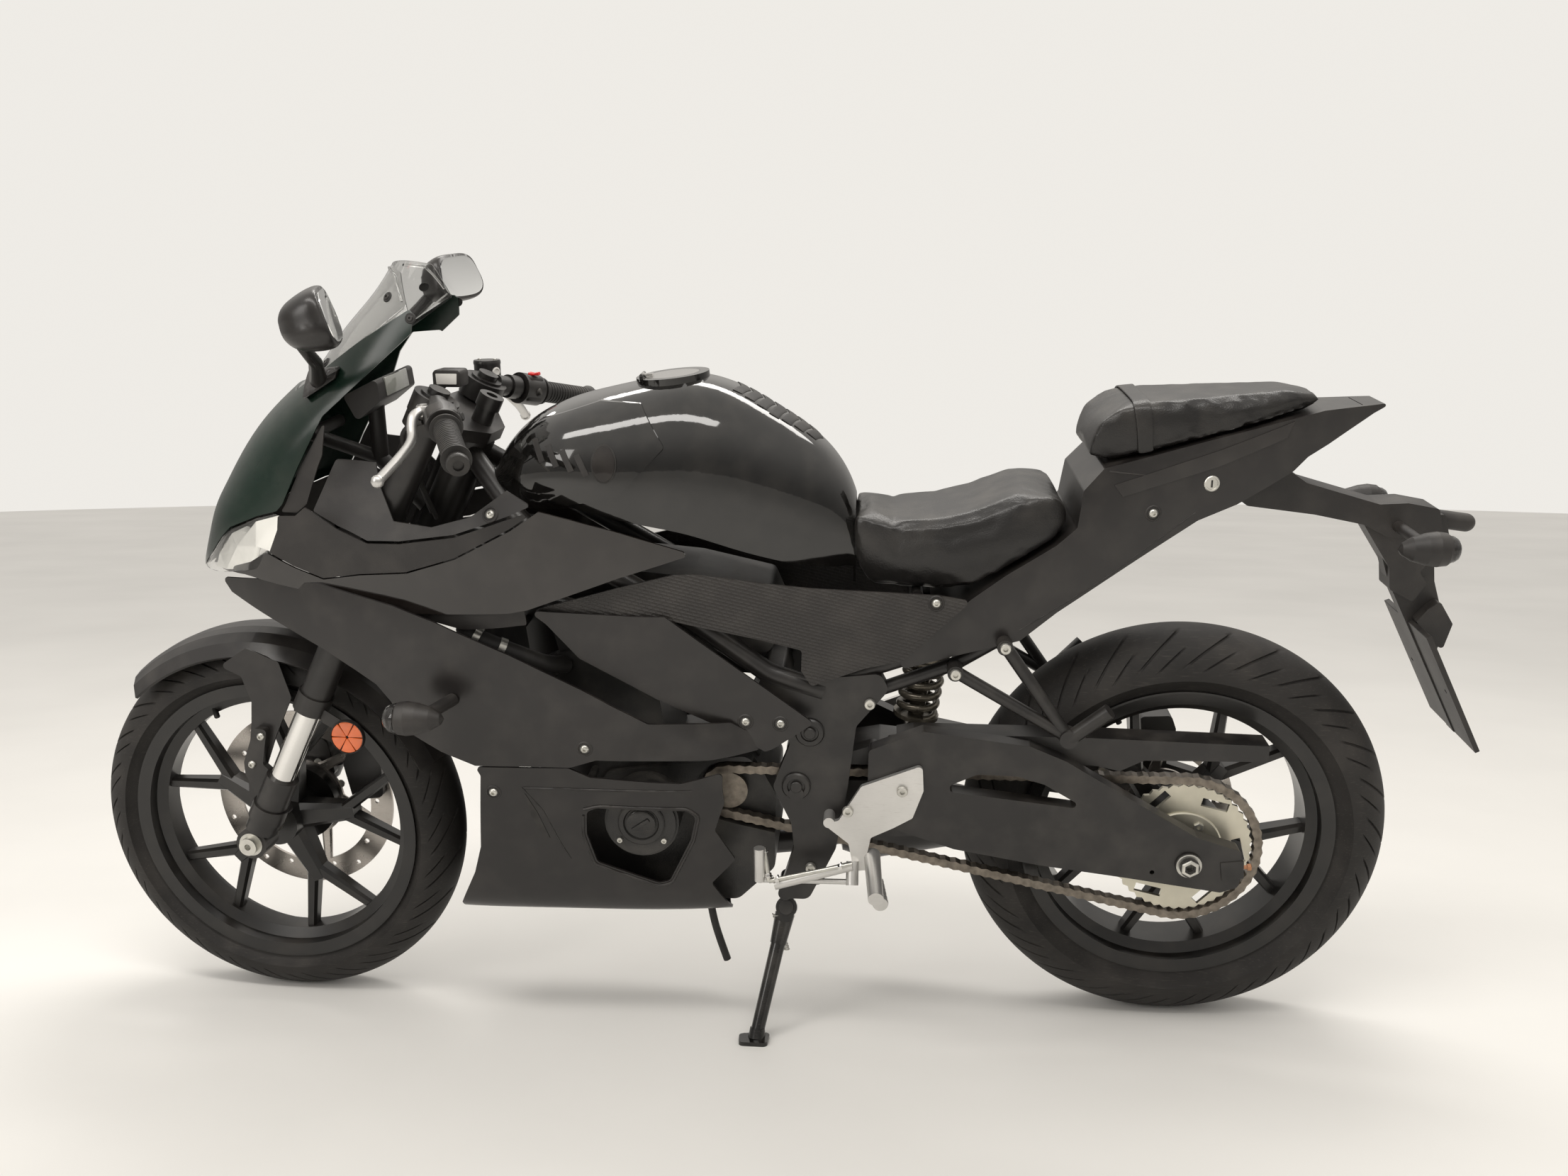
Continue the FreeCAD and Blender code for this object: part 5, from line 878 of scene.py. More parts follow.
# Each groove: side, place in the pitch, width in the pitch, and where it starts and ends over the crown
GROOVES = ((1, 0.0, 0.09, 0.16, 0.80), (1, 0.5, 0.065, 0.52, 0.86), (-1, 0.25, 0.09, 0.16, 0.80),
           (-1, 0.75, 0.065, 0.52, 0.86))
GROOVE_END = 0.07
PLAIN_COLUMNS = (0.17, 0.42, 0.65, 0.92)
CROWN_STEPS = 22
CROWN_ANGLE = math.radians(84)


def tread_columns():
    """Places in one pitch where the mesh needs an edge, and each groove's depth there."""
    columns = {}
    for groove in GROOVES:
        for share in GROOVE_STEPS:
            place = round(groove[1] + groove[2] * share, 4)
            columns.setdefault(place, {})[groove] = 1.0 if 0 < share < 1 else 0.0
    for extra in PLAIN_COLUMNS:
        columns[extra] = {}
    return sorted(columns.items())


def groove_depth(share, deep):
    """How deep the grooves of one column are at this share of the way out from the crown."""
    total = 0.0
    for (side, _, _, start, end), level in deep.items():
        out = share * side
        if start < out < end:
            total += level * min(1.0, (out - start) / GROOVE_END, (end - out) / GROOVE_END)
    return total


def bead_and_lining(radius, half, foot):
    """A tyre's section from bead to bead across its inside, as (side, distance from the axle) in mm."""
    near = [(foot + 3, 236), (foot, 231), (foot, 216), (foot - 11, 216), (foot - 16, 226),
            (half * 0.5, radius - 20)]
    return near + [(-side, away) for side, away in reversed(near)]


def tyre_piece(axle, radius, half, foot, settings, slant):
    """A tyre with sunk tread grooves: rings of one closed section, sheared so grooves run slanted."""
    rows = []
    for pitch in range(settings.pitches):
        for place, deep in tread_columns():
            row = []
            for share in [i / CROWN_STEPS for i in range(-CROWN_STEPS, CROWN_STEPS + 1)]:
                angle = CROWN_ANGLE * share
                reach = half - groove_depth(share, deep) * settings.depth / MM
                row.append((reach * math.sin(angle), radius - half + reach * math.cos(angle),
                            slant * abs(share) ** 1.5))
            row += [(side, away, slant) for side, away in bead_and_lining(radius, half, foot)]
            ring = []
            for side, away, shear in row:
                turn = 2 * math.pi * (pitch + place + shear) / settings.pitches
                ring.append(axle + at(away * math.sin(turn), side, away * math.cos(turn)))
            rows.append(ring)
    return grid_part(rows, closed=True)


class BIKE_OT_tyres(bpy.types.Operator):
    """Front and rear tyres with their tread"""

    bl_idname = "sport_bike.tyres"
    bl_label = "Tyres"

    def execute(self, context):
        settings = context.scene.sport_bike_tyres
        front = tyre_piece(FRONT_AXLE, 293, 55, 38, settings, -1.5)
        settle(front, "front_tread", "tyre_rubber", "front_wheel_body", 40, ("front_tyre",))
        rear = tyre_piece(REAR_AXLE, 314, 70, 51, settings, 1.5)
        settle(rear, "rear_tread", "tyre_rubber", "rear_wheel_body", 40, ("rear_tyre",))
        return {"FINISHED"}


# Fasteners and plates that sit on the carried-over surfaces

def surface(nodes, x, z, side=1, axes=None):
    """Where a line from the side first meets one of these nodes: the place in mm and the way it faces."""
    axes = axes or UPRIGHT
    start = axes @ at(x, side * 420, z)
    way = axes.to_3x3() @ Vector((0, -side, 0))
    best = None
    for name in nodes:
        hit, place, normal, _ = frame["nodes"][name].ray_cast(start, way)
        if hit and (best is None or (place - start).length < (best[0] - start).length):
            best = (place, normal)
    if best is None:
        raise RuntimeError("nothing to sit on at %s, %s on %s" % (x, z, ", ".join(nodes)))
    back = axes.inverted()
    normal = back.to_3x3() @ best[1]
    return back @ best[0] / MM, normal if normal.y * side > 0 else -normal


def surfaces(nodes, places, axes=None):
    """The surface at these x, z places on both sides."""
    return [surface(nodes, x, z, side, axes) for x, z in places for side in SIDES]


def button_bolt():
    """A domed bolt with a hexagon socket, standing in a shallow dark cup's place."""
    return turned_part([(-3, 6.4), (0.6, 6.4), (2.2, 5.8), (3.6, 4.2), (4.1, 2.9), (4.1, 2.5), (1.6, 2.5)],
                       24)


PANEL_BOLTS = (("side_fairings", -110, 523), ("side_fairings", -61, 526), ("side_covers", -325, 697),
               ("cockpit", 278, 827), ("tail_cowl", -615, 818), ("belly_pan", 296, 428),
               ("side_fairings", 160, 500))


class BIKE_OT_panel_bolts(bpy.types.Operator):
    """Domed bolts in cups that hold the panels, on both sides"""

    bl_idname = "sport_bike.panel_bolts"
    bl_label = "Panel Bolts"

    def execute(self, context):
        spots = [surface([node], x, z, side) for node, x, z in PANEL_BOLTS for side in SIDES]
        settle(scattered(button_bolt(), spots), "panel_bolts", "zinc_bolt")
        cup = turned_part([(-4, 11.5), (0.2, 11.5), (1.2, 10.4), (1.2, 9.2), (-1.4, 7.4), (-1.4, 3)], 28)
        settle(scattered(cup, spots), "bolt_cups", "textured_plastic")
        screen = surfaces(["windshield"], ((420, 1108), (520, 1018)))
        screen += surfaces(["nose_cowl"], ((381, 1083),))
        washer = turned_part([(-1, 7.5), (0.4, 7.5), (1.4, 6.6), (1.4, 4.6)], 24)
        settle(scattered(washer, screen), "screen_washers", "rubber_black")
        head = turned_part([(0, 4.6), (2.0, 4.6), (3.0, 3.4), (3.0, 1.6), (1.2, 1.6)], 16)
        settle(scattered(head, screen), "screen_screws", "dark_bolt")
        return {"FINISHED"}


class BIKE_OT_frame_bolts(bpy.types.Operator):
    """Socket bolts of the brackets, the frame and the heel plates"""

    bl_idname = "sport_bike.frame_bolts"
    bl_label = "Frame Bolts"

    def execute(self, context):
        spots = surfaces(["pillion_footrests"], ((-353, 598), (-420, 637)))
        spots += surfaces(["rearsets"], ((-205, 392), (-282, 425)))
        spots += surfaces(["frame", "engine"], ((-235, 545), (-150, 285)))
        settle(scattered(socket_bolt(8, 6.5), spots), "bracket_bolts", "zinc_bolt")
        cover = turned_part([(-2, 21), (3, 21), (5, 19), (5, 13), (2.5, 12), (2.5, 8.5), (6.5, 8.5),
                             (7.5, 7.4)], 40)
        pivots = surfaces(["frame", "engine"], ((-130, 416), (-150, 500)))
        settle(scattered(cover, pivots), "pivot_covers", "satin_black")
        return {"FINISHED"}


# Wheels

def ring_of(part, count, distance, axle, y, side, start):
    """Copies of a part in a circle about an axle, all facing out to one side."""
    middle = axle / MM
    turns = [math.radians(start + 360 * step / count) for step in range(count)]
    return scattered(part, [((middle.x + distance * math.sin(turn), y, middle.z + distance * math.cos(turn)),
                             (0, side, 0)) for turn in turns])


VALVE_TURN = math.radians(28)
VALVE_DISTANCE = 217
SPROCKET_FACE = 91.0


class BIKE_OT_wheel_details(bpy.types.Operator):
    """Disc buttons, sprocket nuts with their ring, and tyre valves"""

    bl_idname = "sport_bike.wheel_details"
    bl_label = "Wheel Details"

    def execute(self, context):
        button = turned_part([(-1, 6.5), (1.0, 6.5), (1.8, 5.6), (1.8, 3.4), (0.6, 3.0)], 20)
        buttons = ring_of(button, 8, 66, FRONT_AXLE, -64.3, -1, 22.5)
        settle(buttons, "disc_buttons", "zinc_bolt", "front_wheel_body")
        nuts = ring_of(hex_nut(7.5, 8, 3.2), 6, 42, REAR_AXLE, SPROCKET_FACE, 1, 30)
        settle(nuts, "sprocket_nuts", "zinc_bolt", "rear_wheel_body")
        collar = turned_part([(0, 58), (2.0, 58), (3.4, 56), (3.4, 33), (1.6, 31)], 64)
        stand(collar, (REAR_AXLE.x / MM, SPROCKET_FACE, REAR_AXLE.z / MM), (0, 1, 0))
        settle(collar, "sprocket_ring", "sprocket_gold", "rear_wheel_body")
        sine, cosine = math.sin(VALVE_TURN), math.cos(VALVE_TURN)
        for name, axle, body in (("front_valve", FRONT_AXLE, "front_wheel_body"),
                                 ("rear_valve", REAR_AXLE, "rear_wheel_body")):
            stem = turned_part([(0, 6), (4, 6), (8, 4.2), (22, 3.6), (24, 4.4), (31, 4.4), (32.5, 3)], 20)
            place = (axle.x / MM + VALVE_DISTANCE * sine, 12, axle.z / MM + VALVE_DISTANCE * cosine)
            settle(stand(stem, place, (-sine, 0.35, -cosine)), name, "rubber_black", body)
        return {"FINISHED"}


class BIKE_OT_axle_ends(bpy.types.Operator):
    """Hollow nuts and heads at the ends of both axles, and the chain adjusters"""

    bl_idname = "sport_bike.axle_ends"
    bl_label = "Axle Ends"

    def execute(self, context):
        spots, rear, bodies, tips = [], [], [], []
        for side in SIDES:
            place, _ = surface(["front_axle", "fork_legs"], 690 + 15 * side, 293, side, STEERED)
            spots.append(((690, place.y, 293), (0, side, 0)))
            place, _ = surface(["swingarm"], -690, 330, side)
            rear.append(((-690, place.y, 314), (0, side, 0)))
        head = turned_part([(0, 12.6), (1.6, 12.6), (2.8, 11), (2.8, 8.6), (-9, 8.6), (-9, 2)], 6)
        settle(scattered(head, spots), "front_axle_nuts", "hard_chrome", "steering")
        washer = turned_part([(0, 18), (2.4, 18), (3, 17.2), (3, 8)], 40)
        nut = turned_part([(3, 13.6), (11, 13.6), (12.4, 12), (12.4, 8.6), (-4, 8.6)], 6)
        settle(scattered(joined([washer, nut]), rear), "rear_axle_nuts", "zinc_bolt")
        for side in SIDES:
            place, _ = surface(["swingarm"], -745, 306, side)
            bodies.append(flat_part([(-769, 294), (-738, 290), (-734, 318), (-767, 322)], place.y - 5 * side,
                                    place.y + 2 * side, 1.2))
            tip = turned_part([(0, 3.2), (7, 3.2), (7, 5.4), (12, 5.4), (13, 4)], 6)
            tips.append(stand(tip, (-768, place.y - 10 * side, 306), (-1, 0, 0.05)))
        settle(joined(bodies), "chain_adjusters", "satin_black")
        settle(joined(tips), "adjuster_tips", "copper_tip")
        return {"FINISHED"}


# Steering head and controls

BAR_CLAMP, BAR_END = Vector((352, 102, 966)), Vector((245, 308, 917))
GRIP_RIBS = 16
RIB = ((0, 16.6), (0.55, 16.6), (0.62, 15.7), (0.94, 15.7))
LEVER_ROUTE = ((350, 150, 960), (357, 168, 960), (355, 184, 944), (347, 200, 928), (349, 240, 912),
               (359, 290, 891))
# Each cable's route and its radius
CABLES = ((((345, 120, 950), (384, 117, 955), (404, 90, 910), (404, 66, 860), (390, 50, 800)), 4.2),
          (((352, 152, 945), (388, 147, 938), (398, 104, 890), (394, 62, 830), (386, 46, 790)), 3.6),
          (((352, 43, 985), (374, 46, 972), (388, 58, 930), (390, 52, 860)), 2.2),
          (((372, -132, 966), (394, -110, 946), (402, -80, 890), (390, -56, 800)), 4.6))


def bar_place(share):
    """A place along the left bar, from its fork clamp to its open end."""
    return BAR_CLAMP.lerp(BAR_END, share)


class BIKE_OT_grips(bpy.types.Operator):
    """Ribbed grips with flanges and weighted bar ends"""

    bl_idname = "sport_bike.grips"
    bl_label = "Grips"

    def execute(self, context):
        start, end = bar_place(0.46), bar_place(0.93)
        length = (end - start).length
        profile = [(0, 13), (0, 21), (3, 21), (4, 17)]
        run = (length - 18) / GRIP_RIBS
        for step in range(GRIP_RIBS):
            low = 8 + (length - 18) * step / GRIP_RIBS
            for share, radius in RIB:
                profile.append((low + run * share, radius))
        profile += [(length - 9, 16.8), (length - 3, 19.5), (length, 19.5), (length + 1, 12.5)]
        grip = stand(turned_part(profile, 40), start, end - start)
        settle(both_sides(grip), "ribbed_grips", "rubber_black", "steering", replaces=("grips",))
        weight = turned_part([(0, 12.4), (10, 14.6), (15, 15), (18, 13.8), (18, 7), (14, 6.6)], 32)
        stand(weight, bar_place(0.936), end - start)
        settle(both_sides(weight), "bar_ends", "dark_bolt", "steering")
        return {"FINISHED"}


def lever_blade():
    """A dog-legged lever blade that ends in a ball."""
    blade = tube(LEVER_ROUTE, 6.6, 10, 5)
    ball = turned_part([(-8.4, 1.2), (-7.4, 4.2), (-5, 7), (0, 8.6), (5, 7), (7.4, 4.2), (8.4, 1.2)], 24)
    boss = turned_part([(-7, 9.4), (-6, 10), (6, 10), (7, 9.4), (7, 5), (9, 5), (9, 2)], 28)
    return joined([blade, stand(ball, LEVER_ROUTE[-1]), stand(boss, LEVER_ROUTE[0])])


class BIKE_OT_controls(bpy.types.Operator):
    """Levers, switch housings with their buttons, reservoir, remote box and cables"""

    bl_idname = "sport_bike.controls"
    bl_label = "Controls"

    def execute(self, context):
        settle(both_sides(lever_blade()), "lever_blades", "silver_alloy", "steering", 45, ("hand_levers",))
        lid = turned_part([(0, 20.6), (4, 20.6), (6, 19.4), (6, 15), (4.8, 14), (4.8, 3)], 40)
        settle(stand(lid, (368, -150, 990)), "reservoir_lid", "satin_black", "steering")
        glass = turned_part([(-2, 7), (1.2, 7), (1.8, 6), (1.8, 4.6), (0.6, 4)], 24)
        settle(stand(glass, (351, -140.5, 979), (-0.86, 0.5, 0)), "sight_glass", "pale_plastic", "steering")
        screw = turned_part([(0, 2.6), (1.4, 2.6), (2, 1.6), (0.8, 1.2)], 14)
        screws = scattered(screw, [((368 + 12 * side, -150, 996), (0, 0, 1)) for side in SIDES])
        settle(screws, "reservoir_screws", "zinc_bolt", "steering")
        middle = bar_place(0.35)
        box = flat_part([(-21, -19), (17, -21), (23, -6), (21, 18), (4, 25), (-19, 20)], -17, 17, 5, 3)
        turn = (BAR_END - BAR_CLAMP).normalized().to_track_quat("Y", "Z").to_matrix().to_4x4()
        box.matrix_world = Matrix.Translation(at(*middle)) @ turn
        settle(both_sides(box), "switch_housings", "textured_plastic", "steering")
        right = Vector((middle.x, -middle.y, middle.z))
        rocker = flat_part([(-9, 0), (9, 0), (8, 5), (0, 3.4), (-8, 5)], -6, 6, 1.2)
        settle(stand(rocker, right + Vector((-14, 4, 22))), "stop_switch", "kill_red", "steering")
        key = turned_part([(-3, 6), (3, 6), (4.2, 4.8), (4.2, 1)], 20)
        places = [(middle + Vector((-21, 6, 4)), (-1, 0, 0.3)), (middle + Vector((-21, -8, 6)), (-1, 0, 0.3)),
                  (right + Vector((-21, 8, -4)), (-1, 0, 0.2))]
        settle(scattered(key, places), "switch_buttons", "rubber_black", "steering")
        case = flat_part([(332, 980), (370, 980), (372, 984), (372, 1000), (368, 1004), (334, 1004),
                          (331, 1000)], 26, 60, 3)
        face = flat_part([(337, 984), (366, 984), (367, 999), (336, 999)], 59, 60.8, 1)
        settle(case, "remote_box", "textured_plastic", "steering")
        settle(face, "remote_box_face", "pale_plastic", "steering")
        cables = [tube(route, radius, 8, 3) for route, radius in CABLES]
        settle(joined(cables), "control_cables", "rubber_black", "steering", 60)
        return {"FINISHED"}


# Front end and lamps

REFLECTOR = Vector((521, 108, 473))
REFLECTOR_PARTS = 6
LAMP_MIDDLE = (650, 80, 770)
LAMP_FACES = 90


def on_side(place, side):
    """The same place on this side of the bike."""
    return Vector((place[0], place[1] * side, place[2]))


def pie_reflector():
    """A round amber reflector of six raised segments in a black ring."""
    segments = []
    for step in range(REFLECTOR_PARTS):
        turns = [math.radians(60 * step + 2 + 56 * i / 6) for i in range(7)]
        outer = [(24 * math.cos(turn), 24 * math.sin(turn)) for turn in turns]
        inner = [(2.4 * math.cos(turn), 2.4 * math.sin(turn)) for turn in (turns[-1], turns[0])]
        segments.append(flat_part(outer + inner, 3, 6.4, 0.9))
    return joined(segments)


class BIKE_OT_front_end(bpy.types.Operator):
    """Side reflectors, fork rings and fender bolts"""

    bl_idname = "sport_bike.front_end"
    bl_label = "Front End"

    def execute(self, context):
        rings, amber = [], []
        for side in SIDES:
            ring = turned_part([(0, 26), (5, 26), (7, 25), (7, 24.4), (3, 24.2)], 48)
            rings.append(stand(ring, on_side(REFLECTOR, side), (0, side, 0)))
            rings.append(flat_part([(521, 470), (560, 492), (566, 510), (554, 512), (512, 486)], 106 * side,
                                   109 * side, 1))
        settle(joined(rings), "reflector_rings", "textured_plastic", "steering")
        for side in SIDES:
            angle = 0 if side > 0 else math.pi
            amber.append(turned_at(pie_reflector(), on_side(REFLECTOR, side), angle, "Z"))
        settle(joined(amber), "side_reflectors", "lamp_amber", "steering")
        spots = surfaces(["fork_legs"], ((674, 455), (693, 409)), STEERED)
        settle(scattered(button_bolt(), spots), "fender_bolts", "zinc_bolt", "steering")
        return {"FINISHED"}


def lamp_facets():
    """Plated facets behind the lamp's lens: its own form with few faces, set back and a little smaller."""
    facets = merged_copy("headlight_lenses", "facets", 0.0003)
    use_modifier(facets, "DECIMATE", ratio=min(1.0, LAMP_FACES / len(facets.data.polygons)))
    facets.data.transform(UPRIGHT.inverted())
    for vertex in facets.data.vertices:
        middle = at(*on_side(LAMP_MIDDLE, 1 if vertex.co.y > 0 else -1))
        vertex.co = middle + (vertex.co - middle) * 0.93 + at(-9, 0, 1)
    return facets


class BIKE_OT_lamps(bpy.types.Operator):
    """Lamp reflectors, signal lenses and the dials with their screen"""

    bl_idname = "sport_bike.lamps"
    bl_label = "Lamps"

    def execute(self, context):
        settle(lamp_facets(), "lamp_facets", "reflector_chrome", smooth=1)
        lenses = []
        for side in SIDES:
            front = turned_part([(0, 20.6), (6, 19.6), (12, 16.6), (16, 11.5), (18, 5), (18.4, 1)], 36)
            lenses.append(stand(front, (397, 262 * side, 571), (1, 0, 0)))
            back = turned_part([(0, 18.6), (6, 17.6), (11, 14.4), (14, 9.5), (15.4, 4), (15.8, 1)], 36)
            lenses.append(stand(back, (-991, 138 * side, 782), (-1, 0, 0)))
        settle(joined(lenses), "signal_lenses", "lamp_clear")
        dial = flat_part([(447, 972), (449, 990), (492, 970), (478, 944)], -52, 52, 2)
        settle(dial, "dial_case", "textured_plastic")
        screen = flat_part([(443.6, 969), (446.2, 994), (449, 994), (447, 969)], -46, 46, 0.4)
        settle(screen, "dial_screen", "dial_grey")
        return {"FINISHED"}


# Mirrors

MIRROR_TURN = math.radians(16)
MIRROR_MIDDLE, PANE_MIDDLE = Vector((445, 283, 1106)), Vector((423, 283, 1106))
MIRROR_STEM = (218, 1052)
MIRROR_HALF_WIDTH, MIRROR_HALF_HEIGHT = 60, 37
PANE_HALF_WIDTH, PANE_HALF_HEIGHT = 53, 31.5
SQUARENESS = 3.4
RISE, FORWARD = Vector((0.282, 0, 0.959)), Vector((0.959, 0, -0.282))
SCREEN_TOP = ((431, 1143), (411, 1137), (401, 1118), (392, 1096))
SCREEN_FOOT = ((392, 1096), (430, 1068), (461, 1048), (511, 1014), (562, 980))


def squarer(wide, high):
    """Pulls a point of an ellipse out towards a rounded rectangle of the same width and height."""
    turn = math.atan2(high / MIRROR_HALF_HEIGHT, wide / MIRROR_HALF_WIDTH)
    share = (abs(math.cos(turn)) ** SQUARENESS + abs(math.sin(turn)) ** SQUARENESS) ** (-1 / SQUARENESS)
    return wide * share, high * share


def turned_in(place, side):
    """Squares a mirror head's point in mm and turns it in towards the rider."""
    middle = on_side(MIRROR_MIDDLE, side)
    gap = place - middle
    wide, high = squarer(gap.y, gap.dot(RISE))
    gap = Vector((0, wide, 0)) + RISE * high + FORWARD * gap.dot(FORWARD)
    return middle + Matrix.Rotation(side * MIRROR_TURN, 3, "Z") @ gap


def mirror_pane(side):
    """One mirror's glass, as a rounded rectangle with a rim round it."""
    pane = polygon(48)
    middle = on_side(PANE_MIDDLE, side) - FORWARD * 0.4
    for i, vertex in enumerate(pane.data.vertices):
        turn = 2 * math.pi * i / 48
        across = Vector((0, PANE_HALF_WIDTH * math.cos(turn), 0))
        vertex.co = turned_in(middle + across + RISE * (PANE_HALF_HEIGHT * math.sin(turn)), side) * MM
    ahead = Matrix.Rotation(side * MIRROR_TURN, 3, "Z") @ FORWARD
    bpy.ops.object.mode_set(mode="EDIT")
    extrude(tuple(-ahead * 1.4 * MM))
    bpy.ops.mesh.inset(thickness=0.002, depth=0.0004)
    bpy.ops.object.mode_set(mode="OBJECT")
    return pane


class BIKE_OT_mirrors(bpy.types.Operator):
    """Mirror housings turned in towards the rider, their glasses, and the screen's rims"""

    bl_idname = "sport_bike.mirrors"
    bl_label = "Mirrors"

    def execute(self, context):
        shells = merged_copy("mirrors", "shells", 0.0001)
        shells.data.transform(UPRIGHT.inverted())
        for vertex in shells.data.vertices:
            place = vertex.co / MM
            if abs(place.y) > MIRROR_STEM[0] and place.z > MIRROR_STEM[1]:
                vertex.co = turned_in(place, 1 if place.y > 0 else -1) * MM
        settle(shells, "mirror_shells", "satin_fairing", smooth=40, replaces=("mirrors",))
        settle(joined([mirror_pane(side) for side in SIDES]), "mirror_panes", "mirror_glass")
        rims = []
        for side in SIDES:
            rims.append(groove_line(SCREEN_TOP, ["windshield"], side, 1.9, 0.8, 6))
            rims.append(groove_line(SCREEN_FOOT, ["windshield"], side, 1.2, 0.6, 8))
        settle(joined(rims), "screen_rims", "lamp_clear", smooth=60)
        return {"FINISHED"}


# Panel details

def hugging(outline, nodes, side, thick, lift, cell):
    """A thin plate with this x, z outline that lies on the panels under it, lifted by lift mm."""
    plate = polygon(len(outline))
    for vertex, (x, z) in zip(plate.data.vertices, outline):
        vertex.co = at(x, 0, z)
    bpy.ops.object.mode_set(mode="EDIT")
    for i, way in ((0, (1, 0, 0)), (1, (0, 0, 1))):
        low, high = min(point[i] for point in outline), max(point[i] for point in outline)
        steps = max(1, int((high - low) / cell))
        for step in range(1, steps):
            bpy.ops.mesh.select_all(action="SELECT")
            cut = low + (high - low) * step / steps
            bpy.ops.mesh.bisect(plane_co=Vector(way) * cut * MM, plane_no=way)
    bpy.ops.object.mode_set(mode="OBJECT")
    for vertex in plate.data.vertices:
        place, normal = surface(nodes, vertex.co.x / MM, vertex.co.z / MM, side)
        vertex.co = (place + normal * lift) * MM
    use_modifier(plate, "SOLIDIFY", thickness=thick * MM, offset=0.0)
    return plate


def groove_line(points, nodes, side, radius=1.1, lift=-0.2, step=8.0):
    """A thin dark bead that lies in the panels' seam along these x, z points."""
    places = []
    for (x0, z0), (x1, z1) in zip(points, points[1:]):
        count = max(1, int(math.hypot(x1 - x0, z1 - z0) / step))
        for i in range(count):
            share = i / count
            place, normal = surface(nodes, x0 + (x1 - x0) * share, z0 + (z1 - z0) * share, side)
            places.append(tuple(place + normal * lift))
    return tube(places, radius, 2, 1)


def disc_outline(x, z, half_x, half_z):
    """An oval's outline about a place."""
    turns = [2 * math.pi * i / 28 for i in range(28)]
    return [(x + half_x * math.cos(turn), z + half_z * math.sin(turn)) for turn in turns]


TANK_DISC = (124, 892)


class BIKE_OT_tank_details(bpy.types.Operator):
    """Slots and the bare oval disc on the tank's covers, and the filler's ring"""

    bl_idname = "sport_bike.tank_details"
    bl_label = "Tank Details"

    def execute(self, context):
        slots, discs, rims = [], [], []
        cover = ["tank_side_covers"]
        for side in SIDES:
            for step in range(4):
                x, z = 229 - 21 * step, 917 - 5 * step
                slot = [(x, z), (x - 8, z + 3), (x - 22, z - 24), (x - 14, z - 27)]
                slots.append(hugging(slot, cover, side, 1.2, 0.4, 12))
            discs.append(hugging(disc_outline(*TANK_DISC, 15, 23), cover, side, 2.4, 1.2, 9))
            rims.append(hugging(disc_outline(*TANK_DISC, 17.5, 25.5), cover, side, 2.0, 0.4, 9))
        settle(joined(slots), "tank_slots", "textured_plastic")
        settle(joined(discs), "bare_discs", "brown_gloss")
        settle(joined(rims), "disc_rims", "dark_bolt")
        ring = turned_part([(0, 47), (2.4, 47), (3.4, 46), (3.4, 39.6), (1, 39.2)], 64)
        settle(stand(ring, (46, 0, 983), (-0.06, 0, 1)), "filler_ring", "satin_black")
        return {"FINISHED"}


def surface_from_above(node, x, y):
    """Where a line from above first meets this node, in mm."""
    hit, place, normal, _ = frame["nodes"][node].ray_cast(UPRIGHT @ at(x, y, 1400),
                                                          UPRIGHT.to_3x3() @ Vector((0, 0, -1)))
    if not hit:
        raise RuntimeError("nothing below %s, %s on %s" % (x, y, node))
    back = UPRIGHT.inverted()
    return back @ place / MM, back.to_3x3() @ normal


SCALE_ROWS = 7
SCALE_PITCH = 17


class BIKE_OT_tank_pad(bpy.types.Operator):
    """The rubber pad of overlapping scales on the tank's rear crown"""

    bl_idname = "sport_bike.tank_pad"
    bl_label = "Tank Pad"

    def execute(self, context):
        scales = []
        for row in range(SCALE_ROWS):
            x = -46 - SCALE_PITCH * row
            wide = 34 + 3 * row if row < 4 else 60 - 5 * row
            rows = []
            for i in range(5):
                line = []
                for share in [j / 4 for j in range(-4, 5)]:
                    ahead = x - 3.4 * i + 9 * abs(share) - 4
                    place, normal = surface_from_above("fuel_tank", ahead, wide * share)
                    edge = 1.0 - 0.55 * max(0.0, (i - 2.5) / 1.5)
                    line.append((place + normal * (0.3 + edge)) * MM)
                rows.append(line)
            sheet = grid_part(rows)
            use_modifier(sheet, "SOLIDIFY", thickness=0.0022, offset=-1.0)
            soften(sheet, 0.5, 2, 50)
            scales.append(sheet)
        settle(joined(scales), "tank_pad", "rubber_black")
        return {"FINISHED"}


RECESS = ((252, 436), (120, 434), (4, 430))
WINDOW = ((169, 402), (150, 408), (23, 402), (6, 388), (15, 347), (51, 272), (70, 266), (130, 292),
          (161, 306), (173, 360))
# Each bead: the panel that it lies on, its x, z points, its radius, its lift and its step
BEADS = (("belly_pan", ((255, 437), (228, 400), (206, 340), (192, 307)), 1.1, -0.2, 8.0),
         ("tail_cowl", ((-553, 876), (-620, 868), (-700, 885), (-775, 915)), 1.1, -0.2, 8.0),
         ("tail_cowl", ((-440, 655), (-560, 730), (-680, 822)), 0.9, -0.2, 8.0),
         ("belly_pan", WINDOW + WINDOW[:1], 2.2, 0.2, 10),
         ("belly_pan", RECESS, 1.8, 0.0, 10))
BELLY_SLIT = ((251, 427), (236, 396), (222, 352), (230, 350), (246, 392))
TAIL_STRIP = ((-560, 858), (-572, 842), (-700, 880), (-790, 916), (-800, 938), (-700, 902))
SEAT_LOCK = (-692, 857)


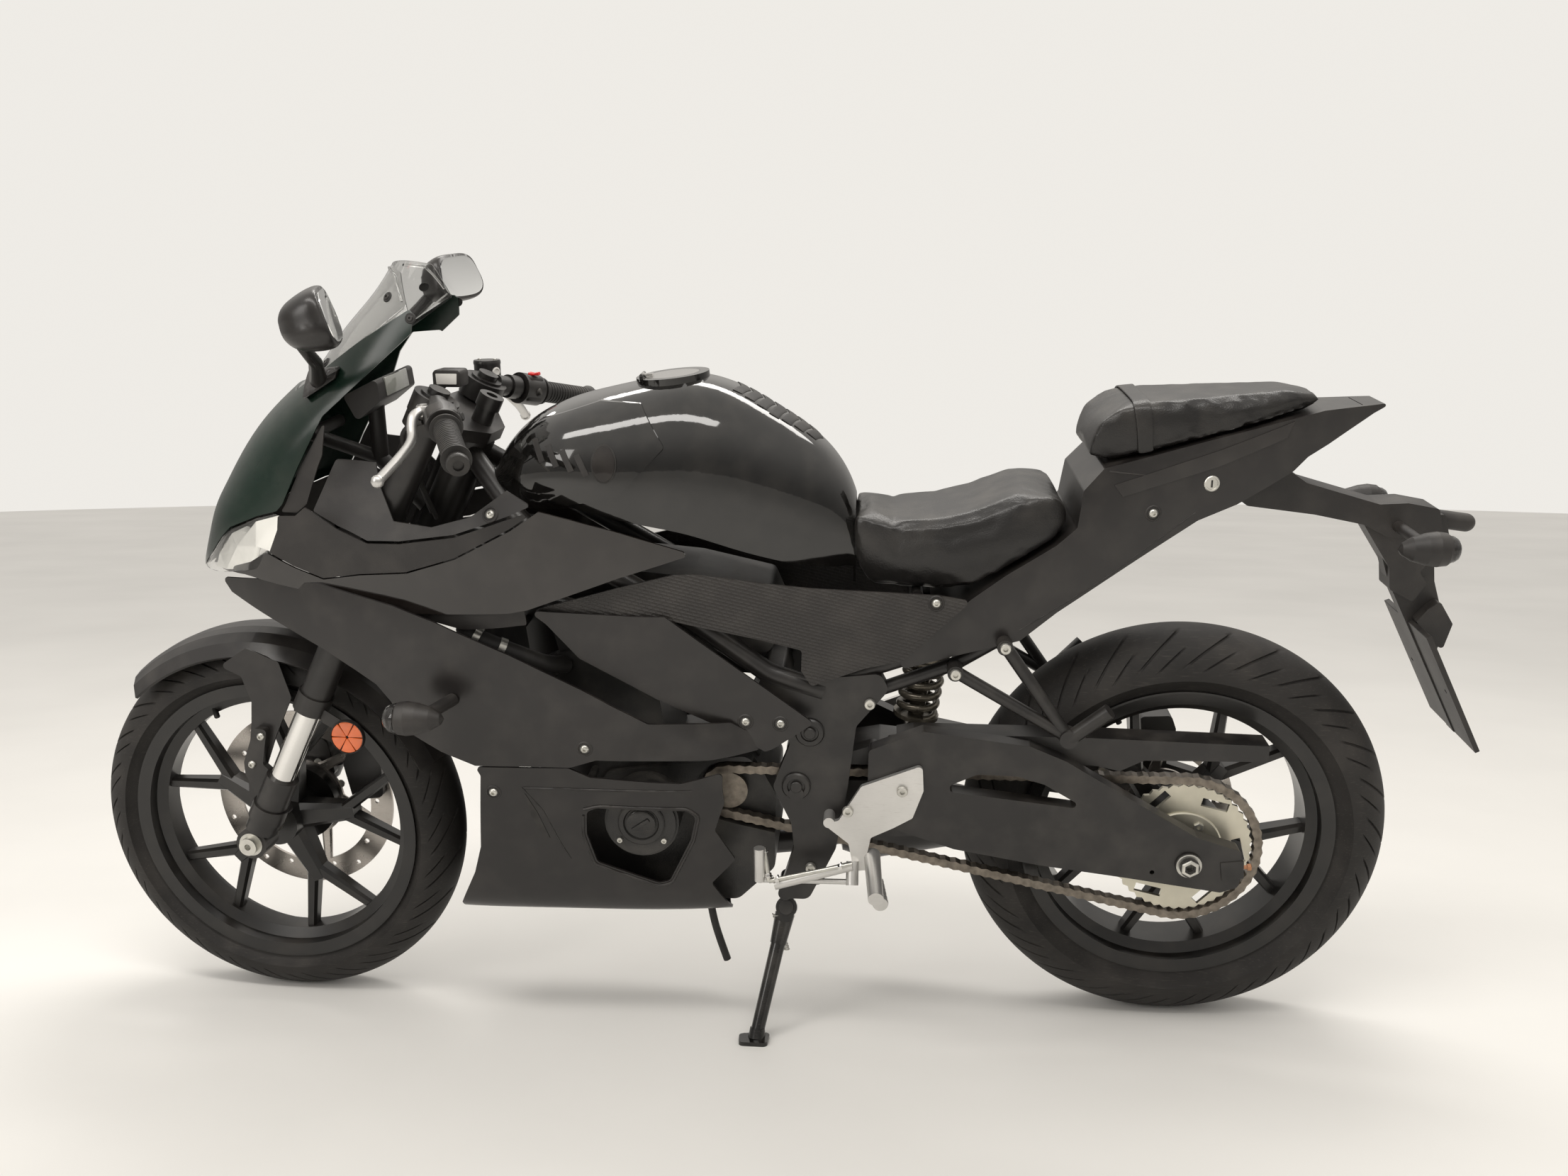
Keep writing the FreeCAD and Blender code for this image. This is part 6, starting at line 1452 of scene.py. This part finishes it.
class BIKE_OT_fairing_details(bpy.types.Operator):
    """Seams, recess edges and slots of the belly and the tail"""

    bl_idname = "sport_bike.fairing_details"
    bl_label = "Fairing Details"

    def execute(self, context):
        lines = [groove_line(points, [node], side, *form) for side in SIDES for node, points, *form in BEADS]
        slits = [hugging(BELLY_SLIT, ["belly_pan"], side, 1.0, 0.3, 10) for side in SIDES]
        settle(joined(lines), "panel_seams", "textured_plastic", smooth=60)
        settle(joined(slits), "belly_slits", "dark_bolt")
        strips = [hugging(TAIL_STRIP, ["tail_cowl"], side, 1.6, 0.5, 9) for side in SIDES]
        settle(joined(strips), "tail_strips", "brown_gloss")
        place, normal = surface(["tail_cowl"], *SEAT_LOCK)
        lock = turned_part([(-2, 11), (1.5, 11), (2.5, 10), (2.5, 8), (1.6, 7.6), (1.6, 1)], 32)
        slot = flat_part(rectangle(1.2, 5), -1, 2.2, 0.2)
        slot.matrix_world = Matrix.Translation(at(*place))
        settle(stand(lock, place, normal), "seat_lock", "zinc_bolt")
        settle(slot, "seat_lock_slot", "dark_bolt")
        return {"FINISHED"}


GENERATOR = Vector((92, 156, 369))


class BIKE_OT_engine_details(bpy.types.Operator):
    """Cover bolts and ribs on the generator cover, and the radiator's fins"""

    bl_idname = "sport_bike.engine_details"
    bl_label = "Engine Details"

    def execute(self, context):
        angles = [math.radians(turn) for turn in (40, 140, 220, 320)]
        spots = [(GENERATOR + Vector((42 * math.cos(angle), 0, 42 * math.sin(angle))), (0, 1, 0))
                 for angle in angles]
        settle(scattered(socket_bolt(4.4, 4), spots), "cover_bolts", "zinc_bolt")
        step = turned_part([(0, 34), (2, 34), (3.4, 32), (3.4, 26), (1, 24)], 56)
        settle(stand(step, GENERATOR, (0, 1, 0)), "cover_step", "engine_black")
        cap = turned_part([(0, 21), (2, 21), (3, 19.5), (3, 3)], 40)
        stand(cap, GENERATOR + Vector((0, 3, 0)), (0, 1, 0))
        bar = flat_part(rectangle(15, 3), -1, 4.4, 0.8)
        turned_at(bar, GENERATOR + Vector((0, 5, 0)), math.radians(35), "Y")
        settle(joined([cap, bar]), "cover_cap", "gloss_steel_black")
        fins = [flat_part([(-12, -4), (14, -4), (12, 4), (-14, 4)], -100, 100, 0)]
        fins += [duplicate(fins[0]) for _ in range(23)]
        for i, fin in enumerate(fins):
            place = at(316 + i * 1.05, 0, 408 + i * 11)
            fin.matrix_world = Matrix.Translation(place) @ Matrix.Diagonal((1, 1, 0.3, 1))
        settle(joined(fins), "radiator_fins", "engine_black")
        return {"FINISHED"}


SPRING_TURNS, SPRING_STEPS, SPRING_RADIUS = 14, 12, 4.6


class BIKE_OT_stand_spring(bpy.types.Operator):
    """The coil spring beside the side stand's leg"""

    bl_idname = "sport_bike.stand_spring"
    bl_label = "Stand Spring"

    def execute(self, context):
        points = []
        for step in range(SPRING_TURNS * SPRING_STEPS + 1):
            angle = 2 * math.pi * step / SPRING_STEPS
            share = step / (SPRING_TURNS * SPRING_STEPS)
            points.append((-96 - 16 * share + SPRING_RADIUS * math.cos(angle),
                           104 + SPRING_RADIUS * math.sin(angle), 196 - 62 * share))
        settle(tube(points, 1.1, 1, 1), "stand_spring", "zinc_bolt", "stand_body", 60)
        return {"FINISHED"}


class BIKE_OT_linkage(bpy.types.Operator):
    """Shift linkage with its lock nuts, and the footpegs' ribs"""

    bl_idname = "sport_bike.linkage"
    bl_label = "Linkage"

    def execute(self, context):
        rods, nuts = [], []
        for start, end in (((-212, 163, 314), (-92, 163, 284)), ((-92, 163, 284), (-84, 150, 330))):
            run = Vector(end) - Vector(start)
            rods.append(stand(turned_part([(0, 3.4), (run.length, 3.4), (run.length, 1)], 16), start, run))
            nuts += [(Vector(start) + run * share, run) for share in (0.12, 0.88)]
        settle(joined(rods), "shift_rod", "zinc_bolt")
        settle(scattered(hex_nut(5.2, 6, 3.3), nuts), "lock_nuts", "hard_chrome")
        rib = turned_part([(0, 10.4), (2.4, 11.2), (5, 11.2), (7.4, 10.4)], 24)
        places = [((-246 - 1.2 * step, side * (172 + 9 * step), 292 - 1.2 * step), (-0.12, side, -0.1))
                  for side in SIDES for step in range(6)]
        settle(scattered(rib, places), "peg_ribs", "silver_alloy")
        return {"FINISHED"}


SETTINGS = {"stage": StageSettings, "seats": SeatSettings, "tyres": TyreSettings}
OPERATORS = (
    BIKE_OT_finishes, BIKE_OT_stage, BIKE_OT_hoses, BIKE_OT_seats, BIKE_OT_tyres, BIKE_OT_panel_bolts,
    BIKE_OT_frame_bolts, BIKE_OT_wheel_details, BIKE_OT_axle_ends, BIKE_OT_grips, BIKE_OT_controls,
    BIKE_OT_front_end, BIKE_OT_lamps, BIKE_OT_mirrors, BIKE_OT_tank_details, BIKE_OT_tank_pad,
    BIKE_OT_fairing_details, BIKE_OT_engine_details, BIKE_OT_stand_spring, BIKE_OT_linkage)


class BIKE_PT_dressing(bpy.types.Panel):
    """Lists the settings and the pieces"""

    bl_idname = "BIKE_PT_dressing"
    bl_label = "Sport Bike"
    bl_space_type = "VIEW_3D"
    bl_region_type = "UI"
    bl_category = "Sport Bike"

    def draw(self, context):
        for name, kind in SETTINGS.items():
            for label in kind.__annotations__:
                self.layout.prop(getattr(context.scene, "sport_bike_" + name), label)
        for operator in OPERATORS:
            self.layout.operator(operator.bl_idname)


CLASSES = (*SETTINGS.values(), *OPERATORS, BIKE_PT_dressing)


def register():
    for cls in CLASSES:
        bpy.utils.register_class(cls)
    for name, kind in SETTINGS.items():
        setattr(bpy.types.Scene, "sport_bike_" + name, bpy.props.PointerProperty(type=kind))


def unregister():
    for name in SETTINGS:
        delattr(bpy.types.Scene, "sport_bike_" + name)
    for cls in reversed(CLASSES):
        bpy.utils.unregister_class(cls)


def main():
    register()
    for name in [operator.bl_idname.split(".")[1] for operator in OPERATORS]:
        getattr(bpy.ops.sport_bike, name)()


if __name__ == "__main__":
    main()
